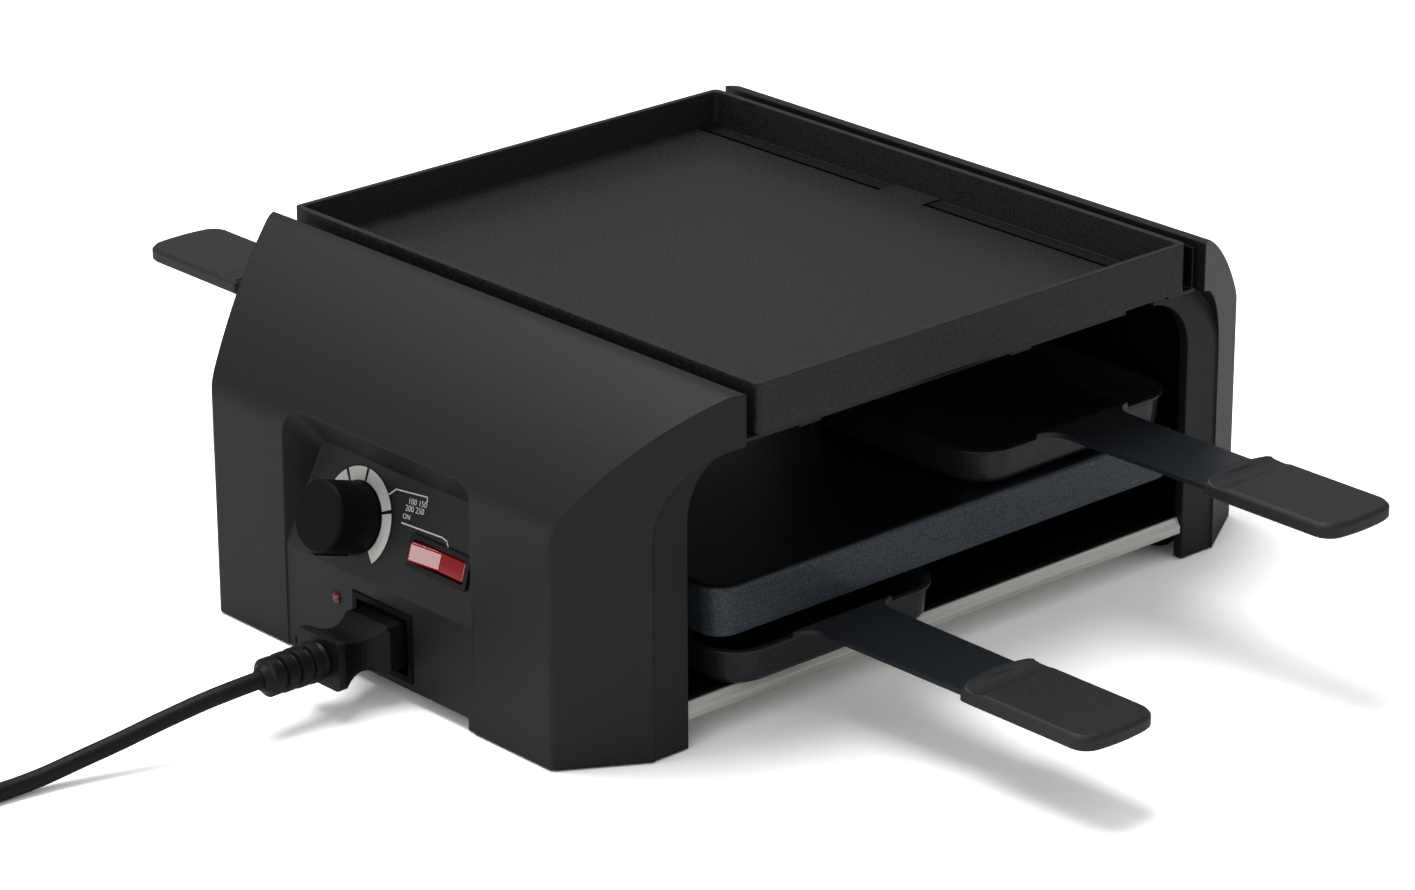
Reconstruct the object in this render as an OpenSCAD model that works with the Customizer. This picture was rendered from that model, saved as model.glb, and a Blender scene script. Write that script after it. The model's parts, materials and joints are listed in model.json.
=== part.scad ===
// Four-person tabletop pizza grill: two moulded end housings, a lift-off cast grill plate,
// a heated middle shelf, a lower deck, four long-handled pans and a detachable lead.
// X runs from the control housing to the plain one, the open sides face -Y and +Y.

/* [Housings] */
// Half of the length over the end faces
half_len = 196; // [180:1:212]
// Distance of a crest from its end face
crest_in = 66.5; // [64:0.5:68]
// Half of the width at the crest
crest_half_w = 148; // [136:1:160]
// Difference between the half widths at the crest and at the end face
end_in = 40.5; // [37:0.5:44]
// Drop from the plate's rim to the crest
crest_drop = 1.2; // [0.6:0.1:3]
// Height over the plate's rim at which the slope's arc passes the crest's inner face
arc_rise = 1; // [0.4:0.1:2]
// Drop from the plate's rim to where the slope's arc would meet the end face
eave_drop = 51.7; // [48:0.1:55]
// Radius of the arched top slope
slope_r = 170; // [150:5:260]
// Radius of the rounded crest
crest_r = 12; // [9:1:15]
// Radius of the shoulder between end face and slope
shoulder_r = 22; // [16:1:30]
// Radius of the upright corners of the end face
corner_r = 4; // [3:0.5:6]
// Thickness of the moulded wall
wall = 2.6; // [2:0.2:3.2]
// Height of the lower edge above the table
skirt_z = 0.8; // [0.6:0.2:2]
// Depth of the flat faces round the opening behind the crest's ends
face_in = 20; // [18:0.5:22]
// Distance of the flat faces' outer edge from the end face
border_w = 35; // [32:1:38]
// Height of the flat face over the opening
face_rise = 10; // [9:0.5:11]
// Corner radius of the flat face
face_r = 40; // [36:1:44]
// Thickness of the flat face
cheek_t = 4.4; // [3:0.2:5]
// Distance of the opening's side from the end face
opening_in = 53.5; // [52:0.5:55]
// Drop from the liner's ceiling to the opening's top
opening_drop = 3; // [2:0.5:5]
// Corner radius of the opening
opening_r = 24.5; // [20:0.5:28]
// Half of the gap between the moulded feet on the end face
foot_gap = 56; // [50:1:62]
// Height of the gap between the feet
foot_gap_z = 6; // [3:0.5:7]

/* [Control panel] */
// Tilt of the control panel
panel_tilt = 17; // [14:0.5:19]
// Height of the panel's lower edge
panel_z = 44; // [42.5:0.5:46]
// Length of the panel up its slope
panel_len = 48.7; // [46:0.1:50]
// Half of the width of the panel's upper edge
panel_half_w = 51; // [49:0.5:53]
// Half of the width of the recess at the end face
recess_half_w = 60; // [58:0.5:62]
// Drop from the plate's rim to the recess roof in line with the end face
recess_drop = 42.7; // [41:0.1:45]
// Depth of the inset below the panel
inset_t = 0.5; // [0.3:0.1:0.8]
// Radius of the recess's upper corners
recess_r = 11; // [8:1:13]
// Knob centre across the panel
knob_u = -20.5; // [-22:0.5:-19]
// Knob centre up the panel
knob_v = 24.5; // [23.5:0.5:26]
// Knob radius
knob_r = 15; // [14:0.5:16]
// Knob height
knob_h = 20; // [18:0.5:22]
// Gap between knob and panel
knob_gap = 1; // [0.6:0.1:1.5]
// Radius of the thermostat shaft
shaft_r = 3; // [2.5:0.1:3.2]
// Radius of the thermostat body
thermostat_r = 15; // [13:0.5:16]
// Depth of the thermostat body
thermostat_depth = 15; // [12:1:18]
// Switch centre across the panel
switch_u = 33.5; // [32:0.5:34]
// Switch centre up the panel
switch_v = 21.7; // [20:0.1:24]
// Length of the rocker
rocker_len = 32; // [30:0.5:33]
// Width of the rocker
rocker_w = 8.8; // [8:0.2:10]
// Tilt of the rocker at either end of its travel
rocker_tilt = 6; // [5:0.5:7]
// Rim of the switch frame beyond its body
switch_rim = 1.1; // [0.8:0.1:1.4]
// Depth of the switch body behind the panel
switch_depth = 17; // [14:1:19]
// Pilot lamp position across the end face
lamp_y = 27; // [26:0.5:28]
// Pilot lamp height
lamp_z = 32; // [31:0.5:34]
// Radius of the pilot lens
lens_r = 2.3; // [2:0.1:2.8]

/* [Inlet and connector] */
// Centre of the inlet across the end face
inlet_y = -2.5; // [-4:0.5:-1]
// Height of the inlet's centre
inlet_z = 24; // [23:0.5:25]
// Width of the inlet pocket
inlet_w = 38; // [36:0.5:39]
// Height of the inlet pocket
inlet_h = 30; // [28:0.5:30.5]
// Depth of the inlet pocket
inlet_depth = 20; // [18:0.5:22]
// Wall of the inlet body
inlet_wall = 2.6; // [2:0.1:3]
// Length of the contact pins
pin_len = 14; // [12:0.5:15]
// Width of the connector head
head_w = 27; // [25:0.5:29]
// Height of the connector head
head_h = 21; // [19:0.5:23]
// Distance of the connector's flange from its nose
flange_x = 51; // [49:1:52]
// Length of the ribbed strain relief
boot_len = 30; // [26:1:36]
// Radius of the strain relief's ribs
boot_r = 8.6; // [7.5:0.1:9.5]
// Number of ribs
boot_ribs = 4; // [3:1:5]

/* [Grill plate] */
// Gap between the plate's side and the crest
plate_side = 8.4; // [8:0.1:9.5]
// Distance of the plate's front and back from the crest's ends
plate_in = 3; // [1:0.5:6]
// Height of the plate's rim
plate_top = 153.7; // [150:0.1:165]
// Height of the rim wall
rim_h = 20.9; // [18:0.1:20.9]
// Thickness of the rim wall
rim_t = 2.8; // [2.4:0.1:3.4]
// Depth of the cooking surface below the rim
plate_depth = 15.7; // [13:0.1:16.5]
// Thickness of the cooking surface
plate_t = 4.2; // [3:0.1:4.4]
// Width of the sunk band at each side, its grease channel included
channel_w = 10.7; // [8:0.1:12]
// Depth of the band
band_d = 0.7; // [0.3:0.1:1]
// Width of the grease channel along the band's inner edge
groove_w = 1.8; // [1.2:0.1:3]
// Depth of the grease channel
channel_d = 2.6; // [1:0.1:2.8]
// Length of the bridge in the middle of the channel
bridge_len = 27; // [10:1:40]
// Distance of the bridge behind the plate's middle
bridge_y = 11.5; // [-15:0.5:15]

/* [Frame and liner] */
// Sheet thickness of the plate frame
frame_t = 1.5; // [1.2:0.1:1.8]
// Gap between the plate and the frame's upright
frame_gap = 4.7; // [4.2:0.1:5]
// Width of the ledge under the plate's edge
ledge_w = 14; // [11:0.5:16]
// Height of the frame's upright above its ledge
frame_up = 18; // [14:0.5:19]
// Depth of the front and rear rails
rail_h = 12; // [9:0.5:13]
// Distance of the liner's side wall behind the opening's side
liner_in = 8.5; // [7.8:0.1:9.5]
// Sheet thickness of the liner
liner_t = 1; // [0.8:0.1:1.2]
// Radius of the liner's shoulder
liner_r = 25; // [23:0.5:27]
// Drop from the plate frame to the liner's ceiling strip
liner_drop = 6; // [5.5:0.1:7]

/* [Shelf and elements] */
// Gap between the shelf and the opening's sides, both sides together
shelf_spare = 18; // [15:0.5:22]
// Distance of the shelf's middle from the housings' middle
shelf_mid = 7; // [5:0.5:8]
// Distance of the shelf's edge behind the flat faces
shelf_in = 0.2; // [0:0.1:3]
// Height of the shelf's top
shelf_top = 63; // [61:0.5:64]
// Height of the shelf's box
shelf_h = 22; // [20:0.5:23]
// Corner radius of the shelf
shelf_r = 12; // [9:1:20]
// Draft of the shelf's walls and width of its rounded edge
shelf_draft = 2; // [1.5:0.1:2.5]
// Sheet thickness of the shelf
shelf_t = 1.2; // [1:0.1:1.5]
// Radius of a heating element's tube
element_r = 3.25; // [2.8:0.05:3.6]
// Distance of an element's bends from the shelf's end
element_in = 29.5; // [26:0.5:36]
// Drop from the liner's ceiling strip to the upper element
upper_drop = 8.5; // [8:0.5:10]
// Distance of the upper element's straps from the middle
hanger_x = 60; // [50:1:72]
// Width of a strap
hanger_w = 12; // [8:1:14]
// Spacing of the upper element's runs
upper_pitch = 36; // [32:1:38]
// Spacing of the shelf element's runs
shelf_pitch = 62; // [56:1:66]
// Length of an element's cold end outside the liner
cold_end = 13; // [10:1:16]

/* [Deck and tray] */
// Sheet thickness of the deck
deck_t = 1.2; // [1:0.1:1.5]
// Gap between the deck and the housings' flat faces
deck_gap = 1.1; // [0.8:0.1:3]
// Gap between the steel tray and the opening's sides
tray_side = 0.5; // [0.5:0.1:2]
// Distance of the tray's lips behind the flat faces
tray_in = 0.5; // [0:0.1:3]
// Height of the tray's floor
tray_z = 12.6; // [12:0.2:13]
// Height of the tray's lips
lip_h = 6.8; // [6:0.1:7.2]
// Height at which a lip starts to lean in
lip_bend = 3; // [2.5:0.1:4]
// Lean of a lip's upper part
lip_lean = 2; // [1:0.1:2.5]
// Sheet thickness of the tray
tray_t = 1.2; // [1:0.1:1.5]
// Thickness of the base covers
cover_t = 2; // [1.6:0.1:2.2]
// Radius of a rubber foot
rubber_r = 7; // [6:0.5:9]

/* [Pans] */
// Part of the half opening that a pan's width leaves free
pan_spare = 21.5; // [21.5:0.5:26]
// Depth of a pan from front to back
pan_d = 116; // [104:1:118]
// Height of a pan
pan_h = 15.5; // [13:0.5:16]
// Corner radius of a pan's rim
pan_r = 19; // [14:1:24]
// Sheet thickness of a pan
pan_t = 1.2; // [1:0.1:1.6]
// Width of the rim turned outwards
rim_w = 1.4; // [1:0.1:2]
// Width of the handle strip at the pan
strip_w = 36.5; // [32:0.5:38]
// Narrowing of the strip towards its grip
strip_taper = 2; // [1:0.2:4]
// Thickness of the strip
strip_t = 2.2; // [1.8:0.1:2.4]
// Fillet radius where the strip joins the pan
strip_fillet = 9; // [6:0.5:12]
// Distance of the grip from the pan
grip_reach = 82.5; // [76:0.5:88]
// Length of a grip
grip_len = 73; // [66:1:80]
// Width of a grip
grip_w = 41; // [40:0.5:44]
// Thickness of a grip with the lip at its root
grip_t = 7.4; // [6.5:0.1:8.5]
// Height of the lip across the grip's root
grip_lip = 0.9; // [0.6:0.1:1.4]
// Distance of each lower pan's inner side from the middle
low_side = 3.5; // [3.5:0.5:9]
// Distance of each lower pan's outer edge from the flat faces
low_out = 6; // [3:0.5:8]
// Gap between the upper front pan and the side of the opening
up_front_side = 0.5; // [0.5:0.5:4]
// Distance of the upper front pan's outer edge behind the flat faces
up_front_in = 2.3; // [0:0.1:6]
// Distance of the upper rear pan's inner side from the middle
up_rear_side = 0; // [0:0.5:6]
// Distance of the upper rear pan's outer edge from the flat faces
up_rear_out = 28.5; // [24:0.5:32]

/* [Lead] */
// Diameter of the lead
lead_d = 7.4; // [7:0.1:7.6]
// Distance from turn to turn in the coil
coil_pitch = 7.95; // [7.95:0.05:8.5]
// Turns in the coil
coil_turns = 6.25; // [5.25:1:6.25]
// Radius of the coil's innermost turn
coil_inner_r = 30; // [30:0.5:34]
// Thickness of the tie round the coil
tie_t = 0.8; // [0.6:0.1:1]
// Width of the tie
tie_w = 12; // [8:1:16]
// Width of the mains plug
plug_w = 34; // [32:0.5:36]
// Thickness of the mains plug
plug_t = 17; // [15:0.5:18]
// Length of the mains plug's body
plug_len = 36; // [32:1:40]

/* [Hidden] */
$fn = 64;

shell_colour = [0.16, 0.17, 0.17];
black = [0.07, 0.07, 0.07];
enamel = [0.24, 0.26, 0.31];
dark_enamel = [0.12, 0.13, 0.16];
steel = [0.78, 0.78, 0.76];
cast = [0.18, 0.17, 0.16];
red = [0.75, 0.05, 0.08];

seat_gap = 0.3;    // clearance under a piece that rests on another
slide_gap = 0.35;  // clearance beside a piece that moves
cut = 1;           // how far a cutter runs past a surface
far = 60;          // length of a cutter that runs out of the part

// Lengths that follow the housings' length and width.
crest_x = half_len - crest_in;
face_x = half_len - border_w;
opening_x = half_len - opening_in;
liner_x = opening_x + liner_in;
plate_x = crest_x - plate_side;
shelf_x = opening_x - shelf_spare / 2;
tray_x = opening_x - tray_side;
element_x = shelf_x - element_in;
pan_w = opening_x - pan_spare;
end_half_w = crest_half_w - end_in;
face_y = crest_half_w - face_in;
plate_y = crest_half_w - plate_in;
shelf_y = face_y - shelf_in;
tray_y = face_y - tray_in;
deck_y = face_y - cheek_t - deck_gap;

// Heights that follow the plate's rim.
frame_z = plate_top - rim_h - seat_gap - frame_t;
liner_top = frame_z - liner_drop;
opening_top = liner_top - opening_drop;
face_top = opening_top + face_rise;
upper_z = liner_top - upper_drop;
recess_roof_z = plate_top - recess_drop;
crest_z = plate_top - crest_drop;

// Housing: the slope's circle passes through the eave and over the crest.
eave = [half_len, plate_top - eave_drop];
crest = [crest_x, plate_top + arc_rise];
slope_chord = crest - eave;
slope_mid = (crest + eave) / 2;
slope_out = [slope_chord[1], -slope_chord[0]] / norm(slope_chord);
slope_c = slope_mid - slope_out * sqrt(slope_r * slope_r - slope_chord * slope_chord / 4);
shoulder_x = half_len - shoulder_r;
shoulder_z = slope_c[1] + sqrt(pow(slope_r - shoulder_r, 2) - pow(shoulder_x - slope_c[0], 2));
shoulder_a = atan2(shoulder_z - slope_c[1], shoulder_x - slope_c[0]);
crest_c_z = crest_z - crest_r;
crest_c_x = slope_c[0] + sqrt(pow(slope_r - crest_r, 2) - pow(crest_c_z - slope_c[1], 2));
crest_a = atan2(crest_c_z - slope_c[1], crest_c_x - slope_c[0]);
taper = end_in / crest_in;

// Heights that stand on each other, from the table up.
cover_z = tray_z - 0.2 - cover_t;
frame_x = plate_x + frame_gap;
liner_base = cover_z + cover_t + seat_gap;
lip_z = liner_top + liner_t + 2 * seat_gap;
shelf_z = shelf_top - shelf_h;
deck_top = tray_z + lip_h;
hanger_t = 1.5;
hanger_z = upper_z - element_r - seat_gap - hanger_t;

// Places of the pans.
low_pan_z = deck_top + seat_gap;
up_pan_z = shelf_top + seat_gap;
low_x_off = pan_w / 2 + low_side;
low_front_y = -face_y - low_out;
up_front_x = opening_x - up_front_side - pan_w / 2;
up_front_y = up_front_in - face_y;
up_rear_x = -pan_w / 2 - up_rear_side;
up_rear_y = face_y + up_rear_out;

// Element ends stand outside the control housing's liner.
cold_x = -(liner_x + cold_end);
upper_rows = [for (i = [0:5]) (i - 2.5) * upper_pitch];
shelf_rows = [for (i = [0:3]) (i - 1.5) * shelf_pitch];
shelf_mid_z = shelf_z + shelf_h / 2;
wire_hole = element_r + 0.75;

// Screws through the base covers, in bosses of the housings.
screw_r = 1.5;
screw_head_r = 3;
screw_len = 12;
boss_r = 5;
boss_top = 26;
boss_at = [[half_len - wall - 4, end_half_w - 12], [face_x + 1, face_y - cheek_t - 4]];

// Inlet, connector and lead.
inlet_back = -half_len + inlet_depth;
nose_x = inlet_back - 1.5;
boot_x = nose_x - flange_x;
lead_x = boot_x - boot_len;
contact_w = 2.2;
contact_h = 6.2;
contact_gap = 0.4;
contacts = [[-7, -2.5], [0, 3.5], [7, -2.5]];

// The lead leaves the strain relief, comes down to the table and runs to the coil.
lead_r = lead_d / 2;
coil_z = tie_t + seat_gap + lead_r;
coil_outer_r = coil_inner_r + coil_pitch * coil_turns / 2;
coil_x = lead_x - 153.5;
coil_start_y = 18;
coil_y = coil_start_y + coil_outer_r;
lead_run = [
    [16.5, -1.7, 23.2], [27.5, 0.3, 21.4], [44.5, 4.4, 17.2], [60.5, 8.5, 12.7], [77.5, 12.5, 8.6],
    [94.5, 15.5, 5.2], [112.5, 17.5, lead_r + 0.2], [127.5, coil_start_y, lead_r + 0.5]
];
lead_route = concat(
    [[lead_x, inlet_y, inlet_z], [lead_x - lead_d, inlet_y, inlet_z]],
    [for (p = lead_run) [lead_x - p[0], p[1], p[2]]],
    [[coil_x + lead_d, coil_start_y, coil_z]]
);
coil_top_z = coil_z + coil_pitch;
tail_x = coil_x - coil_outer_r;
plug_y = coil_y + lead_d + 58;
plug_z = plug_t / 2;
tail_route = [
    [tail_x, coil_y + lead_d, coil_top_z], [tail_x, coil_y + 2 * lead_d, coil_top_z],
    [tail_x, coil_y + 32, coil_top_z - 2], [tail_x, coil_y + 46, plug_z + 1.6],
    [tail_x, plug_y - lead_d, plug_z], [tail_x, plug_y, plug_z]
];
tie_a = 45;

// The object's origin is the middle of its footprint with the pans and the knob, on the table.
knob_c = [
    -half_len + knob_v * sin(panel_tilt), -knob_u, panel_z + knob_v * cos(panel_tilt)
];
knob_edge = 1;
knob_tip = knob_gap + knob_h;
low_x = knob_c[0] - knob_tip * cos(panel_tilt) - (knob_r - knob_edge) * sin(panel_tilt);
handle_reach = grip_reach + grip_len;
low_y = min(low_front_y, up_front_y) - handle_reach;
high_y = max(up_rear_y, -low_front_y) + handle_reach;
shift = [-(low_x + half_len) / 2, -(low_y + high_y) / 2, 0];
echo(origin_shift = shift);

function arc(c, r, a, b, n) = [
    for (i = [0:n]) c + r * [cos(a + (b - a) * i / n), sin(a + (b - a) * i / n)]
];

// Outline of a housing seen along Y, drawn in by t, from xi outwards.
function shell_profile(t, xi, z) = concat(
    [[xi, z], [half_len - t, z]],
    arc([shoulder_x, shoulder_z], shoulder_r - t, 0, shoulder_a, 6),
    arc(slope_c, slope_r - t, shoulder_a, crest_a, 14),
    arc([crest_c_x, crest_c_z], crest_r - t, crest_a, 90, 5),
    [[xi, crest_z - t]]
);

// Half width of a housing at x, drawn in by t.
function plan_y(x, t) = end_half_w + (half_len - x) * taper - t * sqrt(1 + taper * taper);

// Outline of a housing seen from above, drawn in by t.
function shell_plan(t, xi) =
    let (r = max(corner_r - t, 0.6))
    let (c = [half_len - t - r, plan_y(half_len - t - r, t + r)])
    let (a = atan2(1, taper))
    concat(
        [[xi, -plan_y(xi, t)]],
        arc([c[0], -c[1]], r, -a, 0, 5),
        arc(c, r, 0, a, 5),
        [[xi, plan_y(xi, t)]]
    );

// Coil: the radius shrinks and grows again by one pitch a turn; the tube climbs a layer
// in the half turn where the spiral turns back.
function coil_r(t) = coil_inner_r + coil_pitch * abs(coil_turns / 2 - t);
function coil_rise(t) = coil_pitch * min(max((t - coil_turns / 2) * 2 + 0.5, 0), 1);
function coil_point(t) =
    let (a = -90 - 360 * t)
    [coil_x + coil_r(t) * cos(a), coil_y + coil_r(t) * sin(a), coil_z + coil_rise(t)];
coil_steps = 24;
coil_path = concat(
    [[coil_x + lead_d, coil_start_y, coil_z]],
    [for (i = [0:coil_turns * coil_steps]) coil_point(i / coil_steps)],
    [[tail_x, coil_y + lead_d, coil_top_z]]
);
coil_gap = min([
    for (i = [0:len(coil_path) - 1])
    for (j = [i + coil_steps / 2:len(coil_path) - 1])
    norm(coil_path[i] - coil_path[j])
]) - lead_d;
coil_length = route_length(coil_path);
echo(coil_gap = coil_gap);
echo(coil_length = coil_length);
echo(lead_length = route_length(lead_route) + route_length(tail_route) + coil_length);

function sum(v, i = 0) = i < len(v) ? v[i] + sum(v, i + 1) : 0;
function route_length(p) = sum([for (i = [0:len(p) - 2]) norm(p[i + 1] - p[i])]);
function unit(v) = v / norm(v);
function heading(p, i) = unit(
    (i > 0 ? unit(p[i] - p[i - 1]) : [0, 0, 0])
    + (i < len(p) - 1 ? unit(p[i + 1] - p[i]) : [0, 0, 0])
);

// One ring of n points round each point of a path, square to the path.
function rings(p, r, n) = [
    for (i = [0:len(p) - 1])
    let (f = heading(p, i))
    let (s = unit(cross(f, [0, 0, 1])))
    let (u = cross(s, f))
    for (k = [0:n - 1]) p[i] + r * (s * cos(360 * k / n) + u * sin(360 * k / n))
];

// A tube of n sides along a path, as one closed solid of triangles.
module tube(p, r, n) {
    last = len(p) - 1;
    sides = [
        for (i = [0:last - 1])
        for (k = [0:n - 1])
        let (a = i * n + k)
        let (b = i * n + (k + 1) % n)
        for (f = [[a, a + n, b], [b, a + n, b + n]]) f
    ];
    cap_a = [for (k = [1:n - 2]) [0, k, k + 1]];
    cap_b = [for (k = [1:n - 2]) [last * n, last * n + k + 1, last * n + k]];
    polyhedron(rings(p, r, n), concat(cap_a, sides, cap_b));
}

module placed() {
    translate(shift) children();
}

// Extrudes an outline drawn in X and Z along Y, about the middle.
module across(len) {
    rotate([90, 0, 0]) linear_extrude(len, center = true) children();
}

module rounded(w, d, r) {
    square([w - 2 * r, d], center = true);
    square([w, d - 2 * r], center = true);
    for (x = [-1, 1], y = [-1, 1]) {
        translate([x * (w / 2 - r), y * (d / 2 - r)]) circle(r);
    }
}

// Half of an arch in X and Z, from the middle to half_w.
module arch(half_w, top, r) {
    translate([0, -cut]) square([half_w - r, top + cut]);
    translate([0, -cut]) square([half_w, top - r + cut]);
    translate([half_w - r, top - r]) circle(r, $fn = 128);
}

// Frame of the control panel: u across, v up the slope, lift out of it.
module on_panel(u, v, lift = 0) {
    translate([-half_len, 0, panel_z]) rotate([0, panel_tilt, 0]) rotate([90, 0, -90])
        translate([u, v, lift]) children();
}

module along_x(x, y, z) {
    translate([x, y, z]) rotate([0, 90, 0]) children();
}

module shell_solid(t, xi, z) {
    intersection() {
        across(2 * crest_half_w + 4 * cut) polygon(shell_profile(t, xi, z));
        translate([0, 0, z - cut]) linear_extrude(crest_z + 4 * cut) polygon(shell_plan(t, xi));
    }
}

// Room inside a housing: its walls, the flat faces and the lip beside the plate stay.
module shell_room() {
    difference() {
        shell_solid(wall, crest_x - cut, skirt_z - cut);
        for (s = [-1, 1]) {
            translate([0, s * (face_y - cheek_t + far / 2), 0])
                across(far) arch(face_x + wall, face_top + wall, face_r + wall);
        }
        translate([crest_x - 2 * cut, -crest_half_w, lip_z])
            cube([wall + 2 * cut, 2 * crest_half_w, crest_z]);
    }
}

// A housing at +X, open below and towards the middle.
module end_housing() {
    difference() {
        union() {
            difference() {
                shell_solid(0, crest_x, skirt_z);
                shell_room();
                for (s = [-1, 1]) {
                    translate([0, s * (face_y + far / 2), 0])
                        across(far) arch(face_x, face_top, face_r);
                }
            }
            for (s = [-1, 1]) {
                translate([plate_x - cut, s * (face_y - cheek_t / 2) - cheek_t / 2, skirt_z])
                    cube([crest_x - plate_x + 2 * cut, cheek_t, liner_top + liner_t - skirt_z]);
            }
            for (b = boss_at, s = [-1, 1]) {
                translate([b[0], s * b[1], cover_z + cover_t])
                    cylinder(r = boss_r, h = boss_top - cover_z - cover_t);
            }
        }
        across(3 * face_y) arch(opening_x, opening_top, opening_r);
        translate([half_len - 2 * wall - boss_r, -foot_gap, -cut])
            cube([far, 2 * foot_gap, foot_gap_z + cut]);
        for (b = boss_at, s = [-1, 1]) {
            translate([b[0], s * b[1], -cut]) cylinder(r = screw_r + 0.1, h = boss_top - 4);
        }
    }
}

// Space of the tilted control recess, grown by g.
module recess_shape(g) {
    hull() {
        for (s = [-1, 1]) {
            along_x(-half_len - cut, s * (recess_half_w - recess_r), recess_roof_z - recess_r)
                cylinder(r = recess_r + g, h = 0.1, $fn = 32);
            translate([-half_len - cut, s * (recess_half_w + g) - 0.05, panel_z - g])
                cube([0.1, 0.1, 0.1]);
            on_panel(s * (panel_half_w - recess_r / 2), panel_len - recess_r / 2, -g)
                cylinder(r = recess_r / 2 + g, h = 0.1, $fn = 32);
            on_panel(s * (recess_half_w + g), -g, -g) translate([-0.05, 0, 0])
                cube([0.1, 0.1, 0.1]);
        }
    }
}

module control_housing() {
    color(shell_colour) placed() difference() {
        union() {
            mirror([1, 0, 0]) end_housing();
            intersection() {
                recess_shape(wall);
                mirror([1, 0, 0]) shell_solid(0, crest_x, skirt_z);
            }
        }
        recess_shape(0);
        translate([-half_len - cut, -recess_half_w, -cut])
            cube([cut + inset_t, 2 * recess_half_w, panel_z + cut + 2 * inset_t / tan(panel_tilt)]);
        on_panel(knob_u, knob_v, -far / 2) cylinder(r = bush_r + 0.2, h = far);
        on_panel(switch_u, switch_v, 0) cube([frame_len, frame_w, far], center = true);
        along_x(-half_len - cut, lamp_y, lamp_z) cylinder(r = lens_r + 0.15, h = far / 4);
        translate([-half_len - cut, inlet_y - inlet_w / 2, inlet_z - inlet_h / 2])
            cube([far / 3, inlet_w, inlet_h]);
    }
}

module plain_housing() {
    color(shell_colour) placed() end_housing();
}

// Base cover at +X, inside the walls.
module base_cover() {
    inset = wall + seat_gap;
    difference() {
        translate([0, 0, cover_z]) linear_extrude(cover_t) intersection() {
            polygon(shell_plan(inset, tray_x - 10));
            square([3 * half_len, 2 * (face_y - cheek_t - seat_gap)], center = true);
        }
        for (b = boss_at, s = [-1, 1]) {
            translate([b[0], s * b[1], 0]) cylinder(r = screw_r + 0.1, h = far);
        }
        for (s = [-1, 1]) {
            translate([liner_x, s * rubber_y, 0]) cylinder(r = rubber_r / 2, h = far);
        }
    }
}

module control_base_cover() {
    color(black) placed() difference() {
        mirror([1, 0, 0]) base_cover();
        translate([-half_len, inlet_y - inlet_w / 2 - seat_gap, 0])
            cube([inlet_depth + 4, inlet_w + 2 * seat_gap, far]);
    }
}

module plain_base_cover() {
    color(black) placed() base_cover();
}

rubber_y = face_y - 22;

module rubber_feet() {
    color(black) placed() for (x = [-1, 1], y = [-1, 1]) {
        translate([x * liner_x, y * rubber_y, 0]) {
            cylinder(r1 = rubber_r - 1, r2 = rubber_r, h = 2);
            translate([0, 0, 2]) cylinder(r = rubber_r, h = cover_z - 2);
            cylinder(r = rubber_r / 2 - 0.1, h = cover_z + cover_t);
        }
    }
}

module base_screws() {
    color(steel) placed() for (x = [-1, 1], b = boss_at, y = [-1, 1]) {
        translate([x * b[0], y * b[1], cover_z - 1.8]) {
            difference() {
                cylinder(r = screw_head_r, h = 1.8);
                translate([-screw_head_r, -0.4, -cut]) cube([2 * screw_head_r, 0.8, 0.8 + cut]);
            }
            cylinder(r = screw_r, h = screw_len);
        }
    }
}

// Liner at +X: side wall, rounded shoulder and ceiling strip, bent from one sheet.
module liner() {
    r = liner_r + liner_t;
    difference() {
        across(2 * deck_y) {
            difference() {
                union() {
                    translate([liner_x, liner_base]) square([liner_t, liner_top - liner_r - liner_base]);
                    translate([liner_x - liner_r, liner_top - liner_r]) intersection() {
                        circle(r, $fn = 96);
                        square(r);
                    }
                    translate([frame_x - ledge_w, liner_top])
                        square([liner_x - liner_r - frame_x + ledge_w, liner_t]);
                }
                translate([liner_x - liner_r, liner_top - liner_r]) circle(liner_r, $fn = 96);
            }
        }
        children();
    }
}

module control_liner() {
    color(dark_enamel) placed() mirror([1, 0, 0]) liner() {
        union() {
            for (y = [upper_rows[0], upper_rows[5]]) {
                along_x(liner_x - liner_r, y, upper_z) cylinder(r = wire_hole, h = far);
            }
            for (y = [shelf_rows[0], shelf_rows[3]]) {
                along_x(liner_x - liner_r, y, shelf_mid_z) cylinder(r = wire_hole, h = far);
            }
        }
    }
}

module plain_liner() {
    color(dark_enamel) placed() liner();
}

// Frame that the plate drops into: ledges with uprights at the sides, angle rails across.
module plate_frame() {
    in_x = frame_x - ledge_w;
    rail_y = deck_y - seat_gap;
    color(dark_enamel) placed() union() {
        for (s = [0, 1]) mirror([s, 0, 0]) {
            translate([in_x, -plate_y + 1, frame_z])
                cube([ledge_w + frame_t, 2 * plate_y - 2, frame_t]);
            translate([frame_x, -plate_y + 1, frame_z])
                cube([frame_t, 2 * plate_y - 2, frame_t + frame_up]);
            translate([frame_x, -rail_y, lip_z - seat_gap])
                cube([frame_t, 2 * rail_y, frame_z - lip_z + seat_gap + cut]);
        }
        for (s = [0, 1]) mirror([0, s, 0]) {
            translate([-in_x - cut, rail_y - rail_h, frame_z])
                cube([2 * in_x + 2 * cut, rail_h, frame_t]);
            translate([-in_x + 2, rail_y - frame_t, frame_z - rail_h])
                cube([2 * in_x - 4, frame_t, rail_h + cut]);
        }
    }
}

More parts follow.
